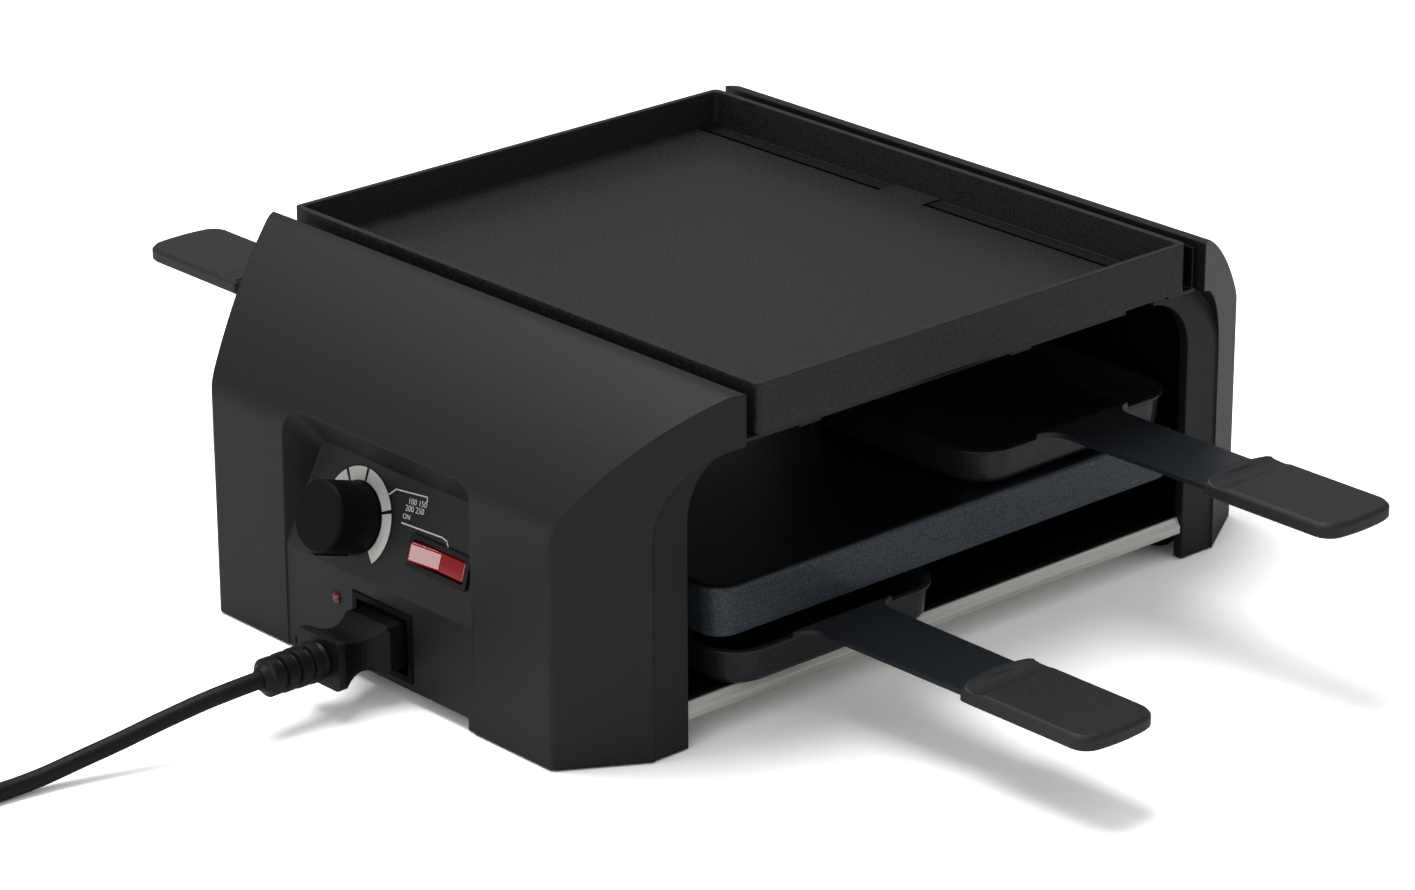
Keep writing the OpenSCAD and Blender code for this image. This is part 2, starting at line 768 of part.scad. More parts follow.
// Cast plate: outer wall, cooking surface with a grease channel at each side.
module grill_plate() {
    floor_z = plate_top - plate_depth;
    inner = 2 * (plate_x - rim_t);
    channel_x = plate_x - rim_t - channel_w;
    color(cast) placed() difference() {
        translate([0, 0, plate_top - rim_h]) linear_extrude(rim_h)
            rounded(2 * plate_x, 2 * plate_y, 3);
        translate([0, 0, floor_z]) linear_extrude(plate_depth + cut)
            rounded(inner, 2 * (plate_y - rim_t), 2.5);
        translate([0, 0, plate_top - rim_h - cut])
            linear_extrude(floor_z - plate_t - plate_top + rim_h + cut)
            rounded(inner - 2, 2 * (plate_y - rim_t) - 2, 3);
        for (s = [0, 1]) mirror([s, 0, 0]) for (t = [-1, 1]) {
            end = t * (plate_y - rim_t);
            near = bridge_y + t * bridge_len / 2;
            translate([channel_x, min(near, end), floor_z - band_d])
                cube([channel_w, abs(end - near), band_d + cut]);
            translate([channel_x, min(near, end), floor_z - channel_d])
                cube([groove_w, abs(end - near), channel_d]);
        }
    }
}

// A tubular element: straight runs joined by half-turn bends, both ends at -X.
module element(rows, z) {
    last = len(rows) - 1;
    half = (rows[1] - rows[0]) / 2;
    for (i = [0:last]) {
        start = (i == 0 || i == last) ? cold_x : -element_x + half;
        along_x(start, rows[i], z) cylinder(r = element_r, h = element_x - half - start);
    }
    for (i = [0:last - 1]) {
        side = (i % 2 == 0) ? 1 : -1;
        translate([side * (element_x - half), rows[i] + half, z]) rotate([0, 0, side * 90 + 180])
            rotate_extrude(angle = 180) translate([half, 0]) circle(element_r, $fn = 32);
    }
    for (i = [0, last]) {
        translate([cold_x - 8, rows[i] - 3.2, z - 0.4]) cube([9, 6.4, 0.8]);
    }
}

module upper_element() {
    color([0.3, 0.3, 0.3]) placed() element(upper_rows, upper_z);
}

module shelf_element() {
    color([0.3, 0.3, 0.3]) placed() element(shelf_rows, shelf_mid_z);
}

// Straps under the upper element, turned up at both ends beside the frame's rails.
module element_hangers() {
    reach = deck_y - 2 * seat_gap - rail_h;
    color(dark_enamel) placed() for (x = [-hanger_x, hanger_x]) {
        translate([x - hanger_w / 2, -reach, hanger_z]) cube([hanger_w, 2 * reach, hanger_t]);
        for (s = [0, 1]) mirror([0, s, 0]) {
            translate([x - hanger_w / 2, reach - hanger_t, hanger_z])
                cube([hanger_w, hanger_t, frame_z + frame_t - hanger_z]);
        }
    }
}

// Outer or inner form of the shelf, drawn in by t: drafted walls and a rounded upper edge.
module shelf_form(t) {
    hull() {
        for (q = [[shelf_z, shelf_draft], [shelf_top - shelf_draft, 0],
            [shelf_top - shelf_draft / 3, shelf_draft / 3], [shelf_top, shelf_draft]]) {
            translate([shelf_mid, 0, q[0] - t]) linear_extrude(0.01) rounded(
                2 * (shelf_x - q[1] - t), 2 * (shelf_y - q[1] - t), shelf_r - q[1] - t, $fn = 48
            );
        }
    }
}

module shelf_cover() {
    color(enamel) placed() difference() {
        shelf_form(0);
        shelf_form(shelf_t);
        translate([shelf_mid, 0, shelf_z - cut]) linear_extrude(cut + shelf_t / 2) rounded(
            2 * (shelf_x - shelf_draft - shelf_t), 2 * (shelf_y - shelf_draft - shelf_t),
            shelf_r - shelf_draft - shelf_t
        );
        for (y = [shelf_rows[0], shelf_rows[3]]) {
            along_x(shelf_mid - shelf_x - cut, y, shelf_mid_z)
                cylinder(r = wire_hole, h = 4 * shelf_t);
        }
    }
}

// Bottom plate of the shelf with a low rim, inside the cover.
module shelf_base() {
    gap = shelf_draft + shelf_t + seat_gap;
    color(dark_enamel) placed() translate([shelf_mid, 0, shelf_z]) difference() {
        linear_extrude(6) rounded(2 * (shelf_x - gap), 2 * (shelf_y - gap), shelf_r - gap);
        translate([0, 0, shelf_t]) linear_extrude(6) rounded(
            2 * (shelf_x - gap - shelf_t), 2 * (shelf_y - gap - shelf_t), shelf_r - gap - shelf_t
        );
    }
}

bracket_y = 62;

bracket_w = 30;
bracket_t = 1.5;
bracket_h = 16;

// Angles on the liners that carry the shelf's four corners.
module shelf_brackets() {
    out = liner_x - seat_gap;
    reach = out - shelf_x + shelf_mid + shelf_draft + 10;
    foot_z = shelf_z - seat_gap - bracket_t;
    color(steel) placed() for (s = [0, 1]) mirror([s, 0, 0]) for (y = [-bracket_y, bracket_y]) {
        translate([out - reach, y - bracket_w / 2, foot_z]) cube([reach, bracket_w, bracket_t]);
        translate([out - bracket_t, y - bracket_w / 2, foot_z])
            cube([bracket_t, bracket_w, bracket_h]);
    }
}

// Enamelled deck under the lower pans, with its front and rear edges turned down.
module lower_deck() {
    half = liner_x - 0.5;
    foot_z = tray_z + tray_t + seat_gap;
    color(dark_enamel) placed() {
        translate([-half, -deck_y, deck_top - deck_t]) cube([2 * half, 2 * deck_y, deck_t]);
        for (s = [0, 1]) mirror([0, s, 0]) {
            translate([-tray_x + 2, deck_y - deck_t, foot_z])
                cube([2 * tray_x - 4, deck_t, deck_top - foot_z]);
        }
    }
}

// Bright steel tray below the deck; its lips stand at the front and the back.
module steel_tray() {
    half = tray_y;
    color(steel) placed() {
        translate([-tray_x, -half, tray_z]) cube([2 * tray_x, 2 * half, tray_t]);
        for (s = [0, 1]) mirror([0, s, 0]) rotate([90, 0, 90]) {
            linear_extrude(2 * tray_x, center = true) polygon([
                [half, tray_z], [half, tray_z + lip_bend],
                [half - lip_lean, tray_z + lip_h], [half - lip_lean - tray_t, tray_z + lip_h],
                [half - tray_t, tray_z + lip_bend], [half - tray_t, tray_z]
            ]);
        }
    }
}

bush_r = 4.8;
frame_wall = 1.1;
frame_len = rocker_len + 2 * slide_gap + 2 * frame_wall;
frame_w = rocker_w + 2 * slide_gap + 2 * frame_wall;
panel_back = -wall - seat_gap;
bush_len = knob_gap - seat_gap - panel_back;
shaft_end = knob_tip - 4;

module control_knob() {
    color(black) placed() on_panel(knob_u, knob_v, knob_gap) difference() {
        union() {
            rotate_extrude($fn = 96) polygon([
                [0, 0], [knob_r - 0.4, 0], [knob_r, 0.6], [knob_r, knob_h - knob_edge],
                [knob_r - knob_edge, knob_h], [0, knob_h]
            ]);
            translate([-1.2, -knob_r - 1.1, 0.6]) cube([2.4, 3, knob_h - 2.6]);
        }
        translate([0, 0, -cut]) difference() {
            cylinder(r = knob_r - 2, h = knob_h - 6 + cut);
            cylinder(r = 6, h = knob_h);
        }
        translate([0, 0, -cut]) cylinder(r = shaft_r + 0.05, h = shaft_end - knob_gap + cut + 0.2);
    }
}

module thermostat_shaft() {
    tail = panel_back - thermostat_depth / 2;
    color(steel) placed() on_panel(knob_u, knob_v, tail)
        cylinder(r = shaft_r, h = shaft_end - tail);
}

module thermostat_body() {
    color(steel) placed() on_panel(knob_u, knob_v, panel_back) difference() {
        union() {
            translate([0, 0, -thermostat_depth]) cylinder(r = thermostat_r, h = thermostat_depth);
            cylinder(r = bush_r, h = bush_len);
            for (x = [-8, 8]) {
                translate([x - 3.15, -0.4, -thermostat_depth - 8]) cube([6.3, 0.8, 9]);
            }
        }
        translate([0, 0, -thermostat_depth / 2 - 0.3])
            cylinder(r = shaft_r + 0.05, h = thermostat_depth + bush_len);
    }
}

// Rocker switch: the frame clips into the panel, the rocker turns about its middle.
module switch_frame() {
    inner_len = rocker_len + 2 * slide_gap;
    inner_w = rocker_w + 2 * slide_gap;
    color(black) placed() on_panel(switch_u, switch_v) difference() {
        union() {
            linear_extrude(1.4) rounded(frame_len + 2 * switch_rim, frame_w + 2 * switch_rim, 1.2);
            translate([0, 0, -switch_depth / 2])
                cube([frame_len - 0.3, frame_w - 0.3, switch_depth], center = true);
            for (x = [-10, 0, 10]) {
                translate([x - 0.4, -3.15, -switch_depth - 8]) cube([0.8, 6.3, 9]);
            }
        }
        difference() {
            translate([-inner_len / 2, -inner_w / 2, -switch_depth + 2])
                cube([inner_len, inner_w, switch_depth]);
            translate([0, 0, rocker_z]) rotate([90, 0, 0])
                cylinder(r = axle_r, h = frame_w - 0.6, center = true, $fn = 32);
        }
    }
}

rocker_z = -2;
axle_r = 1.2;

// Shallow V across the top, ends drawn in so that they clear the frame as they swing.
module switch_rocker() {
    half = rocker_len / 2;
    color(red) placed() on_panel(switch_u, switch_v, rocker_z) rotate([0, rocker_tilt, 0])
        rotate([90, 0, 0]) linear_extrude(rocker_w, center = true) difference() {
            polygon([
                [-half + 0.5, 5], [-half, 1], [-half + 0.4, -3], [-half + 4, -4.5], [half - 4, -4.5],
                [half - 0.4, -3], [half, 1], [half - 0.5, 5], [0, 3]
            ]);
            circle(axle_r + 0.1, $fn = 32);
        }
}

module pilot_lens() {
    color(red) placed() along_x(-half_len - 0.9, lamp_y, lamp_z) rotate_extrude() polygon(concat(
        arc([0, lens_r + 1], lens_r + 1, -90, -46, 5),
        [[lens_r, 2], [lens_r, wall + 1.1], [lens_r + 1, wall + 1.1], [lens_r + 1, wall + 2.4], [0, wall + 2.4]]
    ));
}

module pilot_lamp() {
    start = -half_len + wall + 1.8;
    color([0.9, 0.6, 0.4]) placed() {
        along_x(start, lamp_y, lamp_z) cylinder(r = 1.9, h = 9);
        for (y = [-0.9, 0.9]) {
            along_x(start + 8, lamp_y + y, lamp_z) cylinder(r = 0.3, h = 6);
        }
    }
}

// Open box that holds the contact pins; its rim sits in the end wall.
module inlet_body() {
    gap = 0.2;
    color(black) placed() difference() {
        translate([-half_len, inlet_y - inlet_w / 2 + gap, inlet_z - inlet_h / 2 + gap])
            cube([inlet_depth + 3, inlet_w - 2 * gap, inlet_h - 2 * gap]);
        translate([
            -half_len - cut, inlet_y - inlet_w / 2 + gap + inlet_wall,
            inlet_z - inlet_h / 2 + gap + inlet_wall
        ]) cube([
            inlet_depth + cut, inlet_w - 2 * gap - 2 * inlet_wall, inlet_h - 2 * gap - 2 * inlet_wall
        ]);
        for (c = contacts) contact(c, inlet_back - 1, 0.05, 6);
    }
}

module contact(c, x, g, len) {
    translate([x, inlet_y + c[0] - contact_w / 2 - g, inlet_z + c[1] - contact_h / 2 - g])
        cube([len, contact_w + 2 * g, contact_h + 2 * g]);
}

module inlet_pins() {
    color(steel) placed() for (c = contacts) {
        contact(c, inlet_back - pin_len, 0, pin_len + 11);
    }
}

module terminal_block() {
    color([0.85, 0.85, 0.82]) placed() difference() {
        translate([-half_len + 12, -72, liner_base]) cube([16, 34, 12]);
        for (i = [0:3]) {
            translate([-half_len + 20, -67 + 8 * i, block_z]) {
                cylinder(r = 2, h = far);
                rotate([0, 90, 0]) cylinder(r = 2, h = far, center = true);
            }
        }
    }
}

// Thermal cut-out in a clamp on the outside of the control liner.
module thermal_fuse() {
    color(steel) placed() {
        translate([fuse_x + 3.5, -52, fuse_z - 6]) cube([1, 40, 12]);
        translate([fuse_x, -32, fuse_z]) rotate([90, 0, 0]) cylinder(r = 3.5, h = 26, center = true);
    }
}

// Wires between inlet, terminal block, switch, thermostat and elements.
function panel_point(u, v, lift) = [
    -half_len + v * sin(panel_tilt) - lift * cos(panel_tilt), -u,
    panel_z + v * cos(panel_tilt) + lift * sin(panel_tilt)
];
blade = 8 + seat_gap;
lane = -liner_x - 6;
block_out = -half_len + 28 + seat_gap;
block_z = liner_base + 6;
pin_end = inlet_back + 11 + seat_gap;
fuse_x = -liner_x - liner_t - seat_gap - 4.5;
fuse_z = liner_top - 37;
upper_tab = [cold_x - 6, upper_rows[5], upper_z - 0.7];
shelf_tab = [cold_x - 6, shelf_rows[3], shelf_mid_z - 0.7];
function switch_tip(i, far_off) = panel_point(switch_u + 10 * i, switch_v, -switch_depth - blade - far_off);
function stat_tip(i, far_off) = panel_point(
    knob_u + 8 * i, knob_v, panel_back - thermostat_depth - blade - far_off
);
wire_runs = [
    [[pin_end, inlet_y - 7, inlet_z - 2.5], [pin_end + 3, inlet_y - 7, inlet_z - 2.5],
        [lane - 1, -19, 20], [lane - 2, -34, block_z], [block_out + 4, -43, block_z],
        [block_out, -43, block_z]],
    [[pin_end, inlet_y + 7, inlet_z - 2.5], [pin_end + 3, inlet_y + 7, inlet_z - 2.5],
        [lane - 1, 20, 28], [lane, 60, 40], [lane - 3, 84, 44], shelf_tab - [0, 0.6, 5], shelf_tab],
    [[block_out, -67, block_z], [block_out + 4, -67.5, block_z], [lane - 1, -82, 32],
        [lane - 7, -90.5, 42], [shelf_tab[0], -shelf_tab[1] + 0.6, shelf_tab[2] - 5],
        [shelf_tab[0], -shelf_tab[1], shelf_tab[2]]],
    [[block_out, -59, block_z], [block_out + 5, -59, block_z], [lane, -56, 32], [lane, -46, 48],
        switch_tip(1, 7), switch_tip(1, 0)],
    [switch_tip(-1, 0), switch_tip(-1, 5), [lane + 1, -9, 56], stat_tip(1, 5), stat_tip(1, 0)],
    [stat_tip(-1, 0), stat_tip(-1, 5), [lane, 46, 70], [lane, 70, 92], upper_tab - [-5, 6, 8],
        upper_tab - [0, 0.6, 4], upper_tab],
    [[fuse_x, -45.3, fuse_z], [fuse_x, -52, fuse_z], [lane, -70, fuse_z + 8],
        [upper_tab[0] + 5, -upper_tab[1] + 6, upper_tab[2] - 8],
        [upper_tab[0], -upper_tab[1] + 0.6, upper_tab[2] - 4], [upper_tab[0], -upper_tab[1], upper_tab[2]]],
    [[fuse_x, -18.7, fuse_z], [fuse_x, -13, fuse_z - 1], [lane - 1, -14, fuse_z - 14],
        [lane - 1, -28, 62], switch_tip(0, 6), switch_tip(0, 0)]
];

module inner_wires() {
    color([0.8, 0.7, 0.5]) placed() for (w = wire_runs) tube(w, 1.1, 8);
}

// Connector: a block in the pocket, drawn in to a waist and flared again to a flange.
head_len = 25;
flange_t = 3;
waist_len = flange_x - flange_t - head_len;
waist_in = 4;
function pinched(x, half) = x < head_len || x > flange_x - flange_t
    ? half : half - waist_in * sin(180 * (x - head_len) / waist_len);
function pinched_outline(half) =
    let (xs = concat([0], [for (i = [0:10]) head_len + waist_len * i / 10], [flange_x]))
    concat(
        [for (x = xs) [-x, pinched(x, half)]],
        [for (i = [len(xs) - 1:-1:0]) [-xs[i], -pinched(xs[i], half)]]
    );

module lead_connector() {
    color(black) placed() translate([nose_x, inlet_y, inlet_z]) difference() {
        intersection() {
            linear_extrude(2 * head_h, center = true) polygon(pinched_outline(head_w / 2));
            rotate([90, 0, 0]) linear_extrude(2 * head_w, center = true)
                polygon(pinched_outline(head_h / 2));
            along_x(-flange_x - cut, 0, 0) linear_extrude(flange_x + 2 * cut)
                rounded(head_h, head_w, 2.5);
        }
        for (c = contacts) {
            translate([
                -pin_len - 1, c[0] - contact_w / 2 - contact_gap, c[1] - contact_h / 2 - contact_gap
            ]) cube([pin_len + 1 + cut, contact_w + 2 * contact_gap, contact_h + 2 * contact_gap]);
        }
    }
}

// Strain relief: ribs on a slightly tapered sleeve that points away from the connector.
module lead_boot() {
    rib = boot_len / (boot_ribs + 0.5);
    slim = 0.2;
    groove = 1.8;
    color(black) placed() translate([boot_x, inlet_y, inlet_z]) rotate([0, -90, 0])
        rotate_extrude() polygon(concat(
            [[0, 0], [boot_r - 1, 0]],
            [for (i = [0:boot_ribs - 1]) for (q = [[groove, 0.3], [0, 0.42], [0, 0.98], [groove, 1.1]])
                [boot_r - q[0] - i * slim, (i + q[1]) * rib]],
            [[lead_r + 1, boot_len - 0.3], [lead_r + 0.6, boot_len], [0, boot_len]]
        ));
}

module mains_lead() {
    color(black) placed() tube(lead_route, lead_r, 12);
}

module lead_coil() {
    color(black) placed() tube(coil_path, lead_r, 6);
}

module lead_tail() {
    color(black) placed() tube(tail_route, lead_r, 12);
}

// Flat band round the coil's turns.
module lead_tie() {
    in_r = coil_inner_r - lead_r + 1.5;
    out_r = coil_outer_r - 0.6;
    h = 2 * lead_r + coil_pitch + 2 * seat_gap;
    color([0.1, 0.1, 0.1]) placed() translate([coil_x, coil_y, 0]) rotate([0, 0, tie_a]) {
        translate([(in_r + out_r) / 2, 0, tie_t + h / 2]) rotate([90, 0, 0])
            linear_extrude(tie_w, center = true) difference() {
                square([out_r - in_r + 2 * tie_t, h + 2 * tie_t], center = true);
                square([out_r - in_r, h], center = true);
            }
    }
}

// Flat six-sided plug with three round pins and its own strain relief.
module mains_plug() {
    boot = 20;
    color(black) placed() translate([tail_x, plug_y, plug_z]) {
        translate([0, boot, 0]) linear_extrude(plug_t - 0.6, center = true) polygon([
            [-5, 0], [5, 0], [plug_w / 2, 9], [plug_w / 2, plug_len], [plug_w / 2 - 5, plug_len + 5],
            [-plug_w / 2 + 5, plug_len + 5], [-plug_w / 2, plug_len], [-plug_w / 2, 9]
        ]);
        rotate([-90, 0, 0]) cylinder(r1 = lead_r + 0.8, r2 = 6, h = boot);
    }
}

module plug_pins() {
    face = 20 + plug_len + 5;
    color(steel) placed() translate([tail_x, plug_y + face, plug_z]) {
        for (p = [[-9.5, -2], [0, 3], [9.5, -2]]) {
            translate([p[0], 0, p[1]]) rotate([-90, 0, 0]) cylinder(r = 2, h = 19);
        }
    }
}

// A pan in its own frame: outer edge at y = 0, handle towards -Y, floor at z = 0.
module pan_outline(inset) {
    translate([0, pan_d / 2]) rounded(pan_w - 2 * inset, pan_d - 2 * inset, pan_r - inset);
}

// Drafted bowl with a rounded foot, drawn in by inset.
module pan_bowl(inset) {
    hull() {
        for (q = [[3.8, 0], [2.2, 0.8], [1.2, 2.6], [0, pan_h]]) {
            translate([0, 0, q[1]]) linear_extrude(0.01) pan_outline(q[0] + rim_w + inset, $fn = 32);
        }
    }
}

module strip_outline() {
    root = strip_w / 2;
    end = (strip_w - strip_taper) / 2;
    corner = root + strip_fillet;
    for (s = [0, 1]) mirror([s, 0, 0]) {
        polygon([
            [0, pan_t], [root, pan_t], [root, -strip_fillet], [end, -grip_reach - strip_in],
            [0, -grip_reach - strip_in]
        ]);
        difference() {
            translate([root - cut, -strip_fillet]) square([strip_fillet + cut, strip_fillet + pan_t]);
            translate([corner, -strip_fillet]) circle(strip_fillet);
        }
    }
}

strip_z = pan_h - 0.1;
strip_in = 20;

module pan() {
    difference() {
        union() {
            pan_bowl(0);
            translate([0, 0, pan_h - pan_t]) linear_extrude(pan_t) pan_outline(0);
        }
        translate([0, 0, pan_t]) pan_bowl(pan_t);
    }
    translate([0, 0, strip_z]) linear_extrude(strip_t) strip_outline();
}

// Outline of a grip, drawn in by t: bowed root, straight sides, bowed tip with round corners.
root_bow = 48;
tip_bow = 90;
tip_r = 9;
function grip_outline(t) =
    let (half = grip_w / 2 - t)
    let (a = asin(half / (root_bow + t)))
    let (end = -grip_reach - grip_len)
    let (b = asin((grip_w / 2 - tip_r) / (tip_bow - tip_r)))
    let (tip_y = end + tip_bow - (tip_bow - tip_r) * cos(b))
    concat(
        arc([0, -grip_reach - root_bow - 2 * t], root_bow + t, 90 - a, 90 + a, 8),
        arc([-grip_w / 2 + tip_r, tip_y], tip_r - t, 180, 270 - b, 5),
        arc([0, end + tip_bow], tip_bow - t, 270 - b, 270 + b, 6),
        arc([grip_w / 2 - tip_r, tip_y], tip_r - t, 270 + b, 360, 5)
    );

grip_under = 1.2;
grip_z = strip_z - grip_under;

// Grip moulded round the strip's end, with a raised lip at its root and a hollow behind it.
module grip() {
    top = grip_t - grip_lip;
    difference() {
        translate([0, 0, grip_z]) {
            hull() {
                for (q = [[1, 0], [0, 1], [0, top - 1.4], [1.4, top]]) {
                    translate([0, 0, q[1]]) linear_extrude(0.01) polygon(grip_outline(q[0]));
                }
            }
            translate([0, 0, top - cut]) linear_extrude(grip_lip + cut) difference() {
                polygon(grip_outline(1.4));
                translate([0, -5.5]) polygon(grip_outline(0));
                translate([-grip_w, -grip_reach - strip_in - far]) square([2 * grip_w, far]);
            }
        }
        translate([0, -grip_reach - 11, grip_z + top + 11]) rotate([0, 90, 0])
            cylinder(r = 12, h = 2 * grip_w, center = true, $fn = 96);
        translate([0, 0, strip_z - 0.05]) linear_extrude(strip_t + 0.1) strip_slot();
    }
}

// The strip's slot in the grip, a little wider and longer than the strip.
module strip_slot() {
    slot = strip_w + 0.2;
    translate([-slot / 2, -grip_reach - strip_in - 0.2]) square([slot, grip_reach]);
}

module front_place(x, y, z) {
    placed() translate([x, y, z]) children();
}

module rear_place(x, y, z) {
    placed() translate([x, y, z]) rotate([0, 0, 180]) children();
}

module low_front_pan() {
    color(dark_enamel) front_place(-low_x_off, low_front_y, low_pan_z) pan();
}

module low_front_grip() {
    color(shell_colour) front_place(-low_x_off, low_front_y, low_pan_z) grip();
}

module up_front_pan() {
    color(dark_enamel) front_place(up_front_x, up_front_y, up_pan_z) pan();
}

module up_front_grip() {
    color(shell_colour) front_place(up_front_x, up_front_y, up_pan_z) grip();
}

module up_rear_pan() {
    color(dark_enamel) rear_place(up_rear_x, up_rear_y, up_pan_z) pan();
}

module up_rear_grip() {
    color(shell_colour) rear_place(up_rear_x, up_rear_y, up_pan_z) grip();
}

module low_rear_pan() {
    color(dark_enamel) rear_place(low_x_off, -low_front_y, low_pan_z) pan();
}

module low_rear_grip() {
    color(shell_colour) rear_place(low_x_off, -low_front_y, low_pan_z) grip();
}

control_housing();
plain_housing();
control_base_cover();
plain_base_cover();
rubber_feet();
base_screws();
control_liner();
plain_liner();
plate_frame();
grill_plate();
upper_element();
element_hangers();
shelf_cover();
shelf_base();
shelf_element();
shelf_brackets();
lower_deck();
steel_tray();
control_knob();
thermostat_shaft();
thermostat_body();
switch_frame();
switch_rocker();
pilot_lens();
pilot_lamp();
inlet_body();
inlet_pins();
terminal_block();
thermal_fuse();
inner_wires();
lead_connector();
lead_boot();
mains_lead();
lead_coil();
lead_tail();
lead_tie();
mains_plug();
plug_pins();
low_front_pan();
low_front_grip();
up_front_pan();
up_front_grip();
up_rear_pan();
up_rear_grip();
low_rear_pan();
low_rear_grip();
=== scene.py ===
import json
import math

import bpy
from mathutils import Matrix, Vector


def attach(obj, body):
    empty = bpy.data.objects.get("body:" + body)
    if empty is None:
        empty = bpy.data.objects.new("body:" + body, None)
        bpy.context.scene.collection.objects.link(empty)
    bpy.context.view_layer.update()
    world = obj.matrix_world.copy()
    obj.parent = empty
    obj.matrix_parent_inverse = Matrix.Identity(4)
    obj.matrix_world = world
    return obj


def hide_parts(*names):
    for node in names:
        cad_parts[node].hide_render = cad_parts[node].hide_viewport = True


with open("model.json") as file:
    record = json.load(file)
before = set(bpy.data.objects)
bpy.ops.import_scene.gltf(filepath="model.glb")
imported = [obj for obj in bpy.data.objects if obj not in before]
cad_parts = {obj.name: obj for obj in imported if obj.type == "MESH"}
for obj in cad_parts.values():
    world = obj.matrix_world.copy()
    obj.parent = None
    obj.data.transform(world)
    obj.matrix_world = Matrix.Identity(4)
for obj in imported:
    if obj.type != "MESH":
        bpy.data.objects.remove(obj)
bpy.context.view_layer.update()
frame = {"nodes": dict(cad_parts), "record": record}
nodes = frame["nodes"]
mm = 0.001
rowShift = Vector((8.50625, -11.25, 0)) * mm  # where the frame has the middle of the housings
print("frame loaded,", len(nodes), "nodes")


def place(x, y, z):  # a point given from the middle of the housings, in millimetres
    return Vector((x, y, z)) * mm + rowShift


# Camera, fitted to the photo's edges
photoCamera = {
    "azimuth": 42.11,
    "elevation": 21.55,
    "roll": -0.22,
    "lens": 129.17,
    "sensor": 36,
    "standsAt": (-1358.6, -1485.3, 849.3),  # millimetres
    "farthest": 30,  # metres
}


def addCamera(view):
    bpy.ops.object.camera_add()
    camera = bpy.context.object
    camera.name = "photoCamera"
    azimuth = math.radians(view["azimuth"])
    elevation = math.radians(view["elevation"])
    looking = Vector((
        math.sin(azimuth) * math.cos(elevation),
        math.cos(azimuth) * math.cos(elevation),
        -math.sin(elevation),
    ))
    turned = looking.to_track_quat("-Z", "Y").to_matrix().to_4x4()
    turned = turned @ Matrix.Rotation(math.radians(view["roll"]), 4, "Z")
    turned.translation = place(*view["standsAt"])
    camera.matrix_world = turned
    camera.data.sensor_width = view["sensor"]
    camera.data.lens = view["lens"]
    camera.data.clip_end = view["farthest"]
    bpy.context.scene.camera = camera


addCamera(photoCamera)
print("camera placed")


# Small helpers for modelling by hand
def deselectAll():
    if bpy.context.mode != "OBJECT":
        bpy.ops.object.mode_set(mode="OBJECT")
    bpy.ops.object.select_all(action="DESELECT")


def makeActive(piece):
    deselectAll()
    piece.select_set(True)
    bpy.context.view_layer.objects.active = piece


def applyPlace(piece):
    makeActive(piece)
    bpy.ops.object.transform_apply(location=True, rotation=True, scale=True)


def applyModifiers(piece):
    makeActive(piece)
    for modifier in list(piece.modifiers):
        bpy.ops.object.modifier_apply(modifier=modifier.name)


def smoothFaces(piece, angle):
    makeActive(piece)
    bpy.ops.object.shade_smooth_by_angle(angle=math.radians(angle))


# Finishes
def linear(red, green, blue):  # from the 0-255 values that a screen shows
    return tuple(
        c / 255 / 12.92 if c / 255 <= 0.04045 else ((c / 255 + 0.055) / 1.055) ** 2.4
        for c in (red, green, blue)
    ) + (1,)


def newFinish(name, colour, roughness, metallic=0.0, specular=0.5, coat=0.0, coatRoughness=0.05):
    finish = bpy.data.materials.new(name)
    finish.use_nodes = True
    shader = finish.node_tree.nodes["Principled BSDF"]
    shader.inputs["Base Color"].default_value = linear(*colour)
    shader.inputs["Roughness"].default_value = roughness
    shader.inputs["Metallic"].default_value = metallic
    shader.inputs["Specular IOR Level"].default_value = specular
    shader.inputs["Coat Weight"].default_value = coat
    shader.inputs["Coat Roughness"].default_value = coatRoughness
    return finish


def grey(value):
    return (value, value, value, 1)


def feed(tree, socket, value):  # with a number, a colour or another node's output
    if isinstance(value, bpy.types.NodeSocket):
        tree.links.new(value, socket)
    else:
        socket.default_value = value


def mathNode(tree, operation, *values):
    node = tree.nodes.new("ShaderNodeMath")
    node.operation = operation
    for socket, value in zip(node.inputs, values):
        feed(tree, socket, value)
    return node.outputs[0]


def mixNode(tree, amount, first, second):
    mix = tree.nodes.new("ShaderNodeMix")
    mix.data_type = "RGBA"
    for key, value in (("Factor", amount), ("A", first), ("B", second)):
        feed(tree, mix.inputs[key], value)
    return mix.outputs["Result"]


def spreadNode(tree, value, low, high, start=0.0, stop=1.0):  # start..stop becomes low..high
    spread = tree.nodes.new("ShaderNodeMapRange")
    for key, amount in (
        ("Value", value), ("From Min", start), ("From Max", stop), ("To Min", low), ("To Max", high),
    ):
        feed(tree, spread.inputs[key], amount)
    return spread.outputs["Result"]


def paint(finish, name, value):
    finish.node_tree.links.new(value, finish.node_tree.nodes["Principled BSDF"].inputs[name])


def paintedColour(finish):
    return finish.node_tree.nodes["Principled BSDF"].inputs["Base Color"].links[0].from_socket


noiseSpan = (0.3, 0.7)  # most of a noise's values lie in here
narrowSpan = (0.35, 0.65)
bevelSamples = 6


